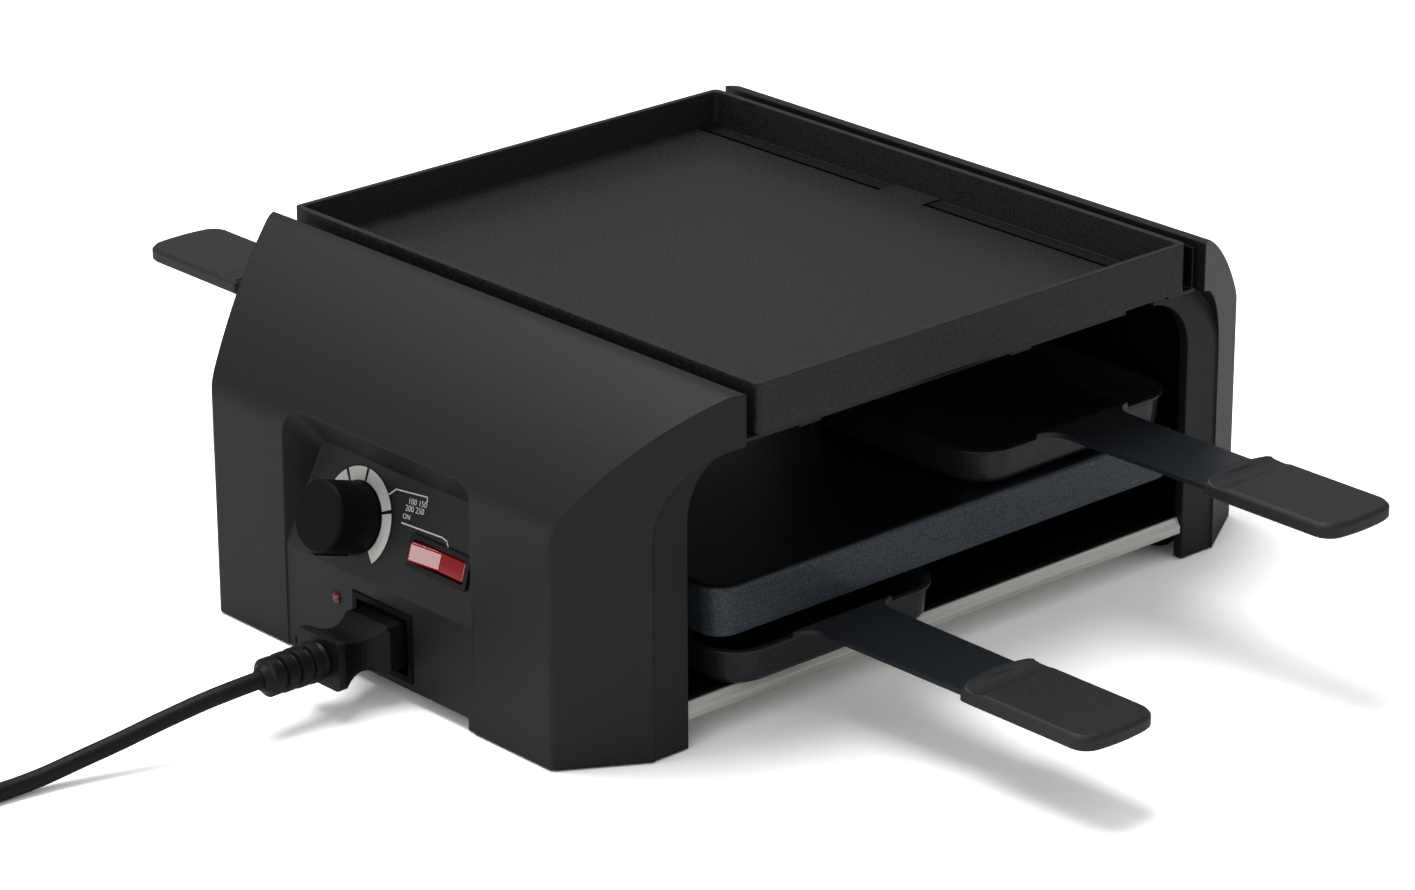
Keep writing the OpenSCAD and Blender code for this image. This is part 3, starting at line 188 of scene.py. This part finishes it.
def addNoise(finish, scale, detail, stretch=(1, 1, 1)):  # scale is in patches to the metre
    tree = finish.node_tree
    coords = tree.nodes.new("ShaderNodeTexCoord")
    mapping = tree.nodes.new("ShaderNodeMapping")
    mapping.inputs["Scale"].default_value = stretch
    noise = tree.nodes.new("ShaderNodeTexNoise")
    noise.inputs["Scale"].default_value = scale
    noise.inputs["Detail"].default_value = detail
    tree.links.new(coords.outputs["Object"], mapping.inputs["Vector"])
    tree.links.new(mapping.outputs["Vector"], noise.inputs["Vector"])
    return noise


def addTone(finish, scale, dark, light, span=noiseSpan, detail=3.0, stretch=(1, 1, 1)):
    tree = finish.node_tree
    noise = addNoise(finish, scale, detail, stretch)
    ramp = tree.nodes.new("ShaderNodeValToRGB")
    for stop, spot, tone in zip(ramp.color_ramp.elements, span, (dark, light)):
        stop.position = spot
        stop.color = linear(*tone)
    tree.links.new(noise.outputs["Fac"], ramp.inputs["Fac"])
    paint(finish, "Base Color", ramp.outputs["Color"])


def addGloss(finish, scale, rough, detail=3.0, stretch=(1, 1, 1)):
    noise = addNoise(finish, scale, detail, stretch)
    paint(finish, "Roughness", spreadNode(finish.node_tree, noise.outputs["Fac"], *rough, *noiseSpan))


def addGrain(finish, scale, depth, detail, edge=0.4, stretch=(1, 1, 1)):  # depth and edge in millimetres
    tree = finish.node_tree
    noise = addNoise(finish, scale, detail, stretch)
    bump = tree.nodes.new("ShaderNodeBump")
    soft = tree.nodes.new("ShaderNodeBevel")
    soft.samples = bevelSamples
    soft.inputs["Radius"].default_value = edge * mm
    tree.links.new(soft.outputs["Normal"], bump.inputs["Normal"])
    bump.inputs["Strength"].default_value = 1.0
    bump.inputs["Distance"].default_value = depth * mm
    tree.links.new(noise.outputs["Fac"], bump.inputs["Height"])
    paint(finish, "Normal", bump.outputs["Normal"])


def mouldedPlastic(name, dark, light, rough=(0.42, 0.5), grain=2200, depth=0.02, edge=0.4, specular=0.4):
    finish = newFinish(name, light, rough[0], specular=specular)
    toneShare, glossShare = 0.6, 0.3  # tone and gloss vary more slowly than the grain
    addTone(finish, grain * toneShare, dark, light)
    addGloss(finish, grain * glossShare, rough)
    addGrain(finish, grain, depth, detail=1.5, edge=edge)
    return finish


# The plate's grease channel and its painted shade, in millimetres from the plate's middle and up from the
# table
channel = {
    "near": 107.3,  # just inside the groove
    "groove": 110.9,  # the darkest strip, a painted shadow: the groove and the band beside it
    "far": 118.2,  # the sunk band's outer side
    "end": 142.1,  # along the plate
    "low": 134.6,
    "high": 137.9,
    # painted shade on the sunk band, a black painted shadow in the groove, and the groove's sheen taken away
    # so the painted shadow stays black
    "bandShade": (22, 21, 20),
    "grooveShadow": (2, 2, 2),
    "grooveShadowSheen": 0.02,
}


def paintChannelShade(finish, sizes):  # paints shade on the groove and band: both darker than the plate round them, the groove a black painted shadow
    tree = finish.node_tree
    coords = tree.nodes.new("ShaderNodeTexCoord")
    middle = tree.nodes.new("ShaderNodeVectorMath")
    middle.operation = "SUBTRACT"
    middle.inputs[1].default_value = rowShift
    apart = tree.nodes.new("ShaderNodeVectorMath")
    apart.operation = "ABSOLUTE"
    axes = tree.nodes.new("ShaderNodeSeparateXYZ")
    tree.links.new(coords.outputs["Object"], middle.inputs[0])
    tree.links.new(middle.outputs["Vector"], apart.inputs[0])
    tree.links.new(apart.outputs["Vector"], axes.inputs["Vector"])
    across, along, up = axes.outputs
    inside = mathNode(tree, "GREATER_THAN", across, sizes["near"] * mm)
    for axis, operation, limit in (
        (across, "LESS_THAN", "far"), (along, "LESS_THAN", "end"),
        (up, "GREATER_THAN", "low"), (up, "LESS_THAN", "high"),
    ):
        inside = mathNode(tree, "MULTIPLY", inside, mathNode(tree, operation, axis, sizes[limit] * mm))
    inGroove = mathNode(tree, "LESS_THAN", across, sizes["groove"] * mm)
    # painted shade: the band's darker tone and the groove's black painted shadow
    tone = mixNode(tree, inGroove, linear(*sizes["bandShade"]), linear(*sizes["grooveShadow"]))
    paint(finish, "Base Color", mixNode(tree, inside, paintedColour(finish), tone))
    sheen = tree.nodes["Principled BSDF"].inputs["Specular IOR Level"].default_value
    # the groove's sheen is taken down too, so its painted shadow reads black
    grooveShadowMask = mathNode(tree, "MULTIPLY", inside, inGroove)
    paint(finish, "Specular IOR Level", spreadNode(tree, grooveShadowMask, sheen, sizes["grooveShadowSheen"]))


castSkin = {
    "dark": (25, 24, 22),
    "light": (47, 46, 43),
    "rough": (0.4, 0.48),
    "specular": 0.35,
    "grain": 1000,
    "glossScale": 500,
    "depth": 0.08,
    "edge": 0.7,
}


def castCoating(name, skin):  # non-stick coat over the plate's cast skin
    finish = newFinish(name, skin["light"], skin["rough"][0], specular=skin["specular"])
    addTone(finish, skin["grain"], skin["dark"], skin["light"], narrowSpan, detail=4)
    addGloss(finish, skin["glossScale"], skin["rough"], detail=4)
    addGrain(finish, skin["grain"], skin["depth"], detail=3, edge=skin["edge"])
    # paints shade into the grease channel: a darker band and a black groove
    paintChannelShade(finish, channel)
    return finish


enamel = {
    "specular": 0.3,
    "coat": 0.1,
    "coatRoughness": 0.15,
    "toneScale": 700,
    "sparkScale": 3200,
    "sparkFade": 0.12,
    "grain": 1400,
    "depth": 0.015,
    "edge": 0.8,
}


def speckledEnamel(name, dark, light, spark, sparkLow, rough):  # the higher sparkLow, the fewer sparks
    finish = newFinish(
        name, light, rough, specular=enamel["specular"], coat=enamel["coat"],
        coatRoughness=enamel["coatRoughness"],
    )
    tree = finish.node_tree
    addTone(finish, enamel["toneScale"], dark, light)
    sparks = addNoise(finish, enamel["sparkScale"], detail=0)
    mask = spreadNode(tree, sparks.outputs["Fac"], 0, 1, sparkLow, sparkLow + enamel["sparkFade"])
    paint(finish, "Base Color", mixNode(tree, mask, paintedColour(finish), linear(*spark)))
    addGrain(finish, enamel["grain"], enamel["depth"], detail=2, edge=enamel["edge"])
    return finish


shelfTopShade = {"starts": 61.4, "full": 62.8, "tone": (13, 15, 18)}  # the baking face, painted darker as shade under the plate, heights in millimetres


def paintTopShade(finish, sizes):  # painted shade: the flat top, in shade under the plate, is painted darker than the sides
    tree = finish.node_tree
    coords = tree.nodes.new("ShaderNodeTexCoord")
    axes = tree.nodes.new("ShaderNodeSeparateXYZ")
    tree.links.new(coords.outputs["Object"], axes.inputs["Vector"])
    onTop = spreadNode(tree, axes.outputs["Z"], 0, 1, sizes["starts"] * mm, sizes["full"] * mm)
    # painted shade on the top, blended in from the starts height to the full height
    paint(finish, "Base Color", mixNode(tree, onTop, paintedColour(finish), linear(*sizes["tone"])))
    return finish


rolling = {"toneScale": 220, "glossScale": 400, "grain": 900, "depth": 0.006}


def rolledSteel(name, dark, light, rough, along, metallic=1.0):  # along is small where the streaks run
    finish = newFinish(name, light, rough[0], metallic=metallic)
    addTone(finish, rolling["toneScale"], dark, light, stretch=along)
    addGloss(finish, rolling["glossScale"], rough, stretch=along)
    addGrain(finish, rolling["grain"], rolling["depth"], detail=2, stretch=along)
    return finish


ink = {"rough": 0.55, "specular": 0.3, "toneScale": 1400}


def printedInk(name, dark, light):
    finish = newFinish(name, light, ink["rough"], specular=ink["specular"])
    addTone(finish, ink["toneScale"], dark, light, narrowSpan)
    return finish


finishes = {
    "housing_plastic": mouldedPlastic(
        "housingPlastic", (25, 28, 27), (29, 32, 31), (0.46, 0.52), edge=1.2, specular=0.35
    ),
    "grip_plastic": mouldedPlastic("gripPlastic", (36, 38, 41), (42, 44, 47), (0.42, 0.52), 1800, 0.03, 1.3),
    "black_plastic": mouldedPlastic("blackPlastic", (12, 11, 10), (15, 14, 13), (0.5, 0.58), specular=0.1),
    "switch_bezel": mouldedPlastic("switchBezel", (21, 22, 22), (24, 25, 25), specular=0.2),
    "foot_rubber": mouldedPlastic("footRubber", (14, 14, 14), (20, 20, 20), (0.7, 0.8)),
    "bright_steel": rolledSteel(
        "brightSteel", (222, 219, 212), (248, 246, 240), (0.24, 0.32), (0.02, 1, 1), metallic=0.6
    ),
    "plain_steel": rolledSteel("plainSteel", (150, 150, 148), (190, 190, 188), (0.3, 0.42), (1, 0.05, 1)),
    "dark_enamel": speckledEnamel("darkEnamel", (9, 10, 13), (14, 15, 19), (40, 42, 48), 0.66, 0.22),
    # the shelf's top carries painted shade
    "shelf_enamel": paintTopShade(
        speckledEnamel("shelfEnamel", (46, 53, 60), (56, 64, 72), (108, 118, 128), 0.6, 0.36), shelfTopShade
    ),
    "pan_enamel": speckledEnamel("panEnamel", (30, 33, 37), (38, 42, 46), (66, 71, 78), 0.64, 0.3),
    "plate_coating": castCoating("plateCoating", castSkin),
    "element_steel": rolledSteel("elementSteel", (62, 58, 54), (96, 90, 84), (0.45, 0.6), (1, 1, 1)),
    "switch_red": newFinish("switchRed", (150, 2, 10), 0.1, specular=0.25, coat=0.6, coatRoughness=0.03),
    "lens_red": newFinish("lensRed", (120, 10, 16), 0.15, specular=0.6, coat=0.5),
    "lamp_glass": newFinish("lampGlass", (220, 190, 160), 0.05, specular=0.6),
    "contact_brass": rolledSteel("contactMetal", (190, 180, 150), (214, 206, 180), (0.2, 0.3), (0.05, 1, 1)),
    "terminal_white": mouldedPlastic("terminalWhite", (206, 204, 196), (218, 216, 208), (0.45, 0.55)),
    "wire_sleeve": mouldedPlastic("wireSleeve", (190, 176, 130), (214, 200, 150), (0.7, 0.85), 1500, 0.08),
    "lead_rubber": mouldedPlastic("leadRubber", (7, 7, 7), (10, 10, 9), (0.5, 0.62), 1600, specular=0.3),
    "plug_plastic": mouldedPlastic(
        "plugPlastic", (10, 10, 9), (14, 13, 12), (0.42, 0.52), 1900, specular=0.3
    ),
    "panel_ink": printedInk("panelInk", (214, 212, 208), (230, 228, 224)),
    "panel_outline": printedInk("panelOutline", (10, 10, 10), (16, 16, 16)),
}
slotOf = {part["node"]: part["material_slot"] for part in frame["record"]["subparts"]}
slotOf["switch_frame"] = "switch_bezel"  # a lighter black than its slot's other parts
for name, node in nodes.items():
    for held in node.material_slots:
        held.material = finishes[slotOf[name]]
print("finishes made:", len(finishes))


def finishPiece(piece, body, finishName, stoodFor=()):
    piece.data.materials.clear()
    piece.data.materials.append(finishes[finishName])
    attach(piece, body)
    if stoodFor:  # it has the slot of the nodes whose place it takes
        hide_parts(*stoodFor)


# The lead: out of the strain relief, down to the table, into a tied coil and on to the plug
lead = {
    "diameter": 7.4,
    "route": [
        (-255.5, -2.5, 24), (-262.9, -2.5, 24), (-275, -1.7, 23.2), (-286, 0.3, 21.4), (-303, 4.4, 17.2),
        (-319, 8.5, 12.7), (-336, 12.5, 8.6), (-353, 15.5, 5.2), (-371, 17.5, 3.9), (-386, 18, 4.2),
        (-404.6, 18, 4.8),
    ],
    "coilStart": (-412, 18, 4.8),
    "coilInner": 30,
    "coilPitch": 7.95,
    "coilTurns": 6.25,
    "climb": 0.5,  # turns in which it climbs to the upper layer
    "turnSteps": 40,
    "tail": [(7.4, 12.75), (14.8, 12.75), (32, 10.75), (46, 10.1), (58, 8.5), (65.4, 8.5)],  # run and height
    "routeSteps": 6,
    "roundness": 6,
    "smoothUpTo": 50,
    "length": 1.886,  # metres
}


def coilPoint(turn, sizes):  # winds inwards on the lower layer, and outwards again on the upper one
    half = sizes["coilTurns"] / 2
    outer = sizes["coilInner"] + sizes["coilPitch"] * half
    radius = sizes["coilInner"] + sizes["coilPitch"] * abs(half - turn)
    rise = sizes["coilPitch"] * min(max((turn - half) / sizes["climb"] + 0.5, 0), 1)
    angle = math.radians(-90 - 360 * turn)
    x, y, z = sizes["coilStart"]
    return x + radius * math.cos(angle), y + outer + radius * math.sin(angle), z + rise


def roundedRoute(points, steps):  # a smooth curve through every point
    out = []
    last = len(points) - 1
    for i in range(last):
        a, b, c, d = (Vector(points[max(0, min(last, k))]) for k in (i - 1, i, i + 1, i + 2))
        for s in range(steps):
            t = s / steps
            out.append(0.5 * (
                2 * b + (c - a) * t + (2 * a - 5 * b + 4 * c - d) * t * t + (3 * b - a - 3 * c + d) * t ** 3
            ))
    out.append(Vector(points[-1]))
    return out


def addLead(sizes):
    count = int(sizes["coilTurns"] * sizes["turnSteps"])
    coil = [coilPoint(i / sizes["turnSteps"], sizes) for i in range(count + 1)]
    endX, endY = coil[-1][:2]
    tail = [(endX, endY + run, height) for run, height in sizes["tail"]]
    start = roundedRoute(sizes["route"] + [coil[0]], sizes["routeSteps"])
    end = roundedRoute([coil[-1]] + tail, sizes["routeSteps"])
    points = [place(*p) for p in start + coil[1:] + end[1:]]
    data = bpy.data.curves.new("mainsLead", "CURVE")
    data.dimensions = "3D"
    data.bevel_depth = sizes["diameter"] / 2 * mm
    data.bevel_resolution = sizes["roundness"]
    data.use_fill_caps = True
    spline = data.splines.new("POLY")
    spline.points.add(len(points) - 1)
    for point, spot in zip(spline.points, points):
        point.co = (*spot, 1)
    piece = bpy.data.objects.new("mainsLead", data)
    bpy.context.scene.collection.objects.link(piece)
    makeActive(piece)
    bpy.ops.object.convert(target="MESH")
    piece = bpy.context.object
    smoothFaces(piece, sizes["smoothUpTo"])
    finishPiece(piece, "lead", "lead_rubber", ("mains_lead", "lead_coil", "lead_tail"))
    length = sum((b - a).length for a, b in zip(points, points[1:]))
    print("lead laid,", round(length, 4), "m")


addLead(lead)


# The tilted panel: its lower edge is on the end face, at this height
panel = {"tilt": 17, "edge": 44, "endFace": -196}


def panelMatrix():  # u runs along the panel, v up it
    tilt = math.radians(panel["tilt"])
    turned = Matrix((
        (0, math.sin(tilt), -math.cos(tilt), 0),
        (-1, 0, 0, 0),
        (0, math.cos(tilt), math.sin(tilt), 0),
        (0, 0, 0, 1),
    ))
    turned.translation = place(panel["endFace"], 0, panel["edge"])
    return turned


def ontoPanel(piece):
    piece.matrix_world = panelMatrix() @ piece.matrix_world
    applyPlace(piece)


# Printing round the knob, as thin ink on the panel; angles are clockwise from the top of the dial
dialPrint = {
    "middle": (-20.5, 24.5),
    "inner": 15.4,
    "outer": 21,
    "segments": [(-137, -71.2), (-66.8, -36.2), (-31.8, -0.2), (4.2, 65.3), (69.7, 137)],
    "facet": 3,  # degrees a step
    "outlineOutside": 0.8,
    "outlineInside": 0.3,
    "outlineAngle": 1.5,
    "sunk": -0.05,
    "outlineTop": 0.06,
    "segmentTop": 0.12,
    "leaderTop": 0.1,
    "leaders": [
        [(-4.4, 38.9), (-0.9, 42.0), (18.1, 44.1), (18.6, 42.4)],
        [(6.4, 30.1), (31.6, 31.3), (34.6, 30.6), (36, 28.8)],
    ],
    "leaderWidth": 0.55,
    "words": [("100 150", (7.7, 38.5), 2.5), ("200 250", (6.8, 35.4), 2.5), ("ON", (6.2, 32.0), 2.1)],
    "fontShare": 1.4,  # a font's size over the height of its capitals
    "wordDepth": 0.05,
    "wordLift": 0.06,
    "slope": 6.5,  # degrees that the words rise
}


def sectorPiece(inner, outer, start, end, top, sizes):
    low = sizes["sunk"]
    middle = Vector((*sizes["middle"], 0)) * mm
    deselectAll()
    bpy.ops.mesh.primitive_plane_add(size=1)
    piece = bpy.context.object
    piece.scale = Vector((outer - inner, top - low, 1)) * mm
    piece.rotation_euler = (math.radians(90), 0, 0)
    piece.location = Vector(((inner + outer) / 2, 0, (low + top) / 2)) * mm
    applyPlace(piece)
    piece.rotation_euler = (0, 0, math.radians(90 - start))
    piece.location = middle
    applyPlace(piece)
    bpy.ops.object.mode_set(mode="EDIT")
    bpy.ops.mesh.select_all(action="SELECT")
    bpy.ops.mesh.spin(
        steps=int((end - start) / sizes["facet"]), angle=math.radians(end - start),
        center=middle, axis=(0, 0, 1),
    )
    bpy.ops.object.mode_set(mode="OBJECT")
    return piece


def barPiece(a, b, sizes):
    low, top, width = sizes["sunk"], sizes["leaderTop"], sizes["leaderWidth"]
    run = Vector(b) - Vector(a)
    deselectAll()
    bpy.ops.mesh.primitive_cube_add(size=1)
    piece = bpy.context.object
    piece.scale = Vector((run.length + width, width, top - low)) * mm
    piece.rotation_euler = (0, 0, math.atan2(run.y, run.x))
    piece.location = Vector(((a[0] + b[0]) / 2, (a[1] + b[1]) / 2, (low + top) / 2)) * mm
    applyPlace(piece)
    return piece


def wordPiece(words, spot, tall, sizes):
    deselectAll()
    bpy.ops.object.text_add(location=(0, 0, 0))
    piece = bpy.context.object
    piece.data.body = words
    piece.data.size = tall * sizes["fontShare"] * mm
    piece.data.extrude = sizes["wordDepth"] * mm
    bpy.ops.object.convert(target="MESH")
    piece = bpy.context.object
    piece.location = Vector((*spot, sizes["wordLift"])) * mm
    piece.rotation_euler = (0, 0, math.radians(sizes["slope"]))
    applyPlace(piece)
    return piece


def inkPiece(name, parts, finishName):  # joined, turned outwards and laid on the panel
    deselectAll()
    for part in parts:
        part.select_set(True)
    bpy.context.view_layer.objects.active = parts[0]
    if len(parts) > 1:
        bpy.ops.object.join()
    piece = bpy.context.object
    piece.name = name
    piece.data.name = name
    bpy.ops.object.mode_set(mode="EDIT")
    bpy.ops.mesh.select_all(action="SELECT")
    bpy.ops.mesh.normals_make_consistent(inside=False)
    bpy.ops.object.mode_set(mode="OBJECT")
    ontoPanel(piece)
    finishPiece(piece, "housing", finishName)


def addPrint(sizes):
    first, last = sizes["segments"][0][0], sizes["segments"][-1][1]
    inner, outer = sizes["inner"], sizes["outer"]
    outline = sectorPiece(
        inner - sizes["outlineInside"], outer + sizes["outlineOutside"],
        first - sizes["outlineAngle"], last + sizes["outlineAngle"], sizes["outlineTop"], sizes,
    )
    inkPiece("dialOutline", [outline], "panel_outline")
    ring = [sectorPiece(inner, outer, a, b, sizes["segmentTop"], sizes) for a, b in sizes["segments"]]
    inkPiece("dialSegments", ring, "panel_ink")
    bars = [barPiece(a, b, sizes) for run in sizes["leaders"] for a, b in zip(run, run[1:])]
    inkPiece("dialLeaders", bars, "panel_ink")
    for i, (words, spot, tall) in enumerate(sizes["words"]):
        inkPiece("dialNumbers" + str(i), [wordPiece(words, spot, tall, sizes)], "panel_ink")


addPrint(dialPrint)
print("dial printed")


# Rocker: two glossy slopes that meet in a valley; u and v are its place on the panel
rocker = {
    "u": 33.5,
    "v": 21.7,
    "lift": -2,
    "tilt": 6,
    "long": 31.8,
    "wide": 8.6,
    "deep": 4.4,
    "high": 5,
    "valley": 2.2,
    "foot": 0.8,
    "rounding": 1.2,
    "roundingSteps": 4,
    "smoothUpTo": 40,
}


def selectCorners(piece, wanted):
    bpy.ops.object.mode_set(mode="EDIT")
    bpy.ops.mesh.select_mode(type="VERT")
    bpy.ops.mesh.select_all(action="DESELECT")
    bpy.ops.object.mode_set(mode="OBJECT")
    for vertex in piece.data.vertices:
        vertex.select = wanted(vertex.co)
    bpy.ops.object.mode_set(mode="EDIT")


def nearValley(spot, near=0.1 * mm):
    return abs(spot.x) < near


def addRocker(sizes):
    deselectAll()
    bpy.ops.mesh.primitive_cube_add(size=1)
    piece = bpy.context.object
    piece.name = "rockerCap"
    piece.scale = Vector((sizes["long"], sizes["wide"], sizes["deep"] + sizes["high"])) * mm
    piece.location = Vector((0, 0, (sizes["high"] - sizes["deep"]) / 2)) * mm
    applyPlace(piece)
    bpy.ops.object.mode_set(mode="EDIT")
    bpy.ops.mesh.select_all(action="SELECT")
    bpy.ops.mesh.bisect(plane_co=(0, 0, 0), plane_no=(1, 0, 0))
    selectCorners(piece, lambda spot: nearValley(spot) and spot.z > 0)
    bpy.ops.transform.translate(value=(0, 0, -sizes["valley"] * mm))
    selectCorners(piece, lambda spot: not nearValley(spot) and spot.z < 0)
    bpy.ops.transform.resize(value=(sizes["foot"], 1, 1), center_override=(0, 0, 0))
    bpy.ops.object.mode_set(mode="OBJECT")
    rounding = piece.modifiers.new("rounding", "BEVEL")
    rounding.width = sizes["rounding"] * mm
    rounding.segments = sizes["roundingSteps"]
    rounding.limit_method = "ANGLE"
    rounding.angle_limit = math.radians(sizes["smoothUpTo"])
    applyModifiers(piece)
    smoothFaces(piece, sizes["smoothUpTo"])
    for edge in piece.data.edges:
        if all(nearValley(piece.data.vertices[v].co) for v in edge.vertices):
            edge.use_edge_sharp = True
    flatter = piece.modifiers.new("flatter", "WEIGHTED_NORMAL")
    flatter.keep_sharp = True
    applyModifiers(piece)
    piece.rotation_euler = (0, math.radians(sizes["tilt"]), 0)
    piece.location = Vector((sizes["u"], sizes["v"], sizes["lift"])) * mm
    applyPlace(piece)
    ontoPanel(piece)
    finishPiece(piece, "rocker", "switch_red", ("switch_rocker",))


addRocker(rocker)
print("rocker fitted")


# Light, world and floor
studio = {
    "lamps": [
        {"name": "keySoftbox", "at": (-0.25, 0.7, 2.8), "size": 1.8, "watts": 54},
        {"name": "endFill", "at": (-2.6, -0.9, 1.2), "size": 1.8, "watts": 8.5},
        {"name": "frontFill", "at": (0.5, -3.0, 0.55), "size": 1.5, "watts": 5},
        {"name": "lowCard", "at": (-2.55, 0.8, 0.25), "size": 0.6, "watts": 8},
    ],
    "lampsAimAt": (0, 0, 0.05),
    "world": {"lighting": 0.36, "mirrored": 0.27, "seen": 1.0},
    "floor": {"lighting": 0.72, "mirrored": 0.75, "seen": 2.1},
    "floorSize": 30,
}


def addLamp(lamp):
    bpy.ops.object.light_add(type="AREA", location=lamp["at"])
    light = bpy.context.object
    light.name = lamp["name"]
    light.data.shape = "SQUARE"
    light.data.size = lamp["size"]
    light.data.energy = lamp["watts"]
    aim = Vector(studio["lampsAimAt"]) - light.location
    light.rotation_euler = aim.to_track_quat("-Z", "Y").to_euler()


def seenDirectly(tree, path):  # 1 for what the camera sees, also through clear glass
    return mathNode(tree, "MAXIMUM", path.outputs["Is Camera Ray"], path.outputs["Is Transmission Ray"])


def buildWorld(bright):
    world = bpy.data.worlds.new("paleStudio")
    bpy.context.scene.world = world
    world.use_nodes = True
    tree = world.node_tree
    background = tree.nodes["Background"]
    background.inputs["Color"].default_value = grey(1)
    path = tree.nodes.new("ShaderNodeLightPath")
    around = spreadNode(tree, path.outputs["Is Glossy Ray"], bright["lighting"], bright["mirrored"])
    strength = spreadNode(tree, seenDirectly(tree, path), around, bright["seen"])
    tree.links.new(strength, background.inputs["Strength"])


def buildFloor(bright):
    deselectAll()
    bpy.ops.mesh.primitive_plane_add(size=studio["floorSize"], location=(0, 0, 0))
    floor = bpy.context.object
    floor.name = "paleFloor"
    applyPlace(floor)
    tone = bpy.data.materials.new("floorTone")
    tone.use_nodes = True
    tree = tone.node_tree
    path = tree.nodes.new("ShaderNodeLightPath")
    around = mixNode(tree, path.outputs["Is Glossy Ray"], grey(bright["lighting"]), grey(bright["mirrored"]))
    diffuse = tree.nodes.new("ShaderNodeBsdfDiffuse")
    feed(tree, diffuse.inputs["Color"], mixNode(tree, seenDirectly(tree, path), around, grey(bright["seen"])))
    tree.links.new(diffuse.outputs["BSDF"], tree.nodes["Material Output"].inputs["Surface"])
    floor.data.materials.append(tone)


for lamp in studio["lamps"]:
    addLamp(lamp)
buildWorld(studio["world"])
buildFloor(studio["floor"])
bpy.context.scene.view_settings.view_transform = "Standard"
print("studio lit")
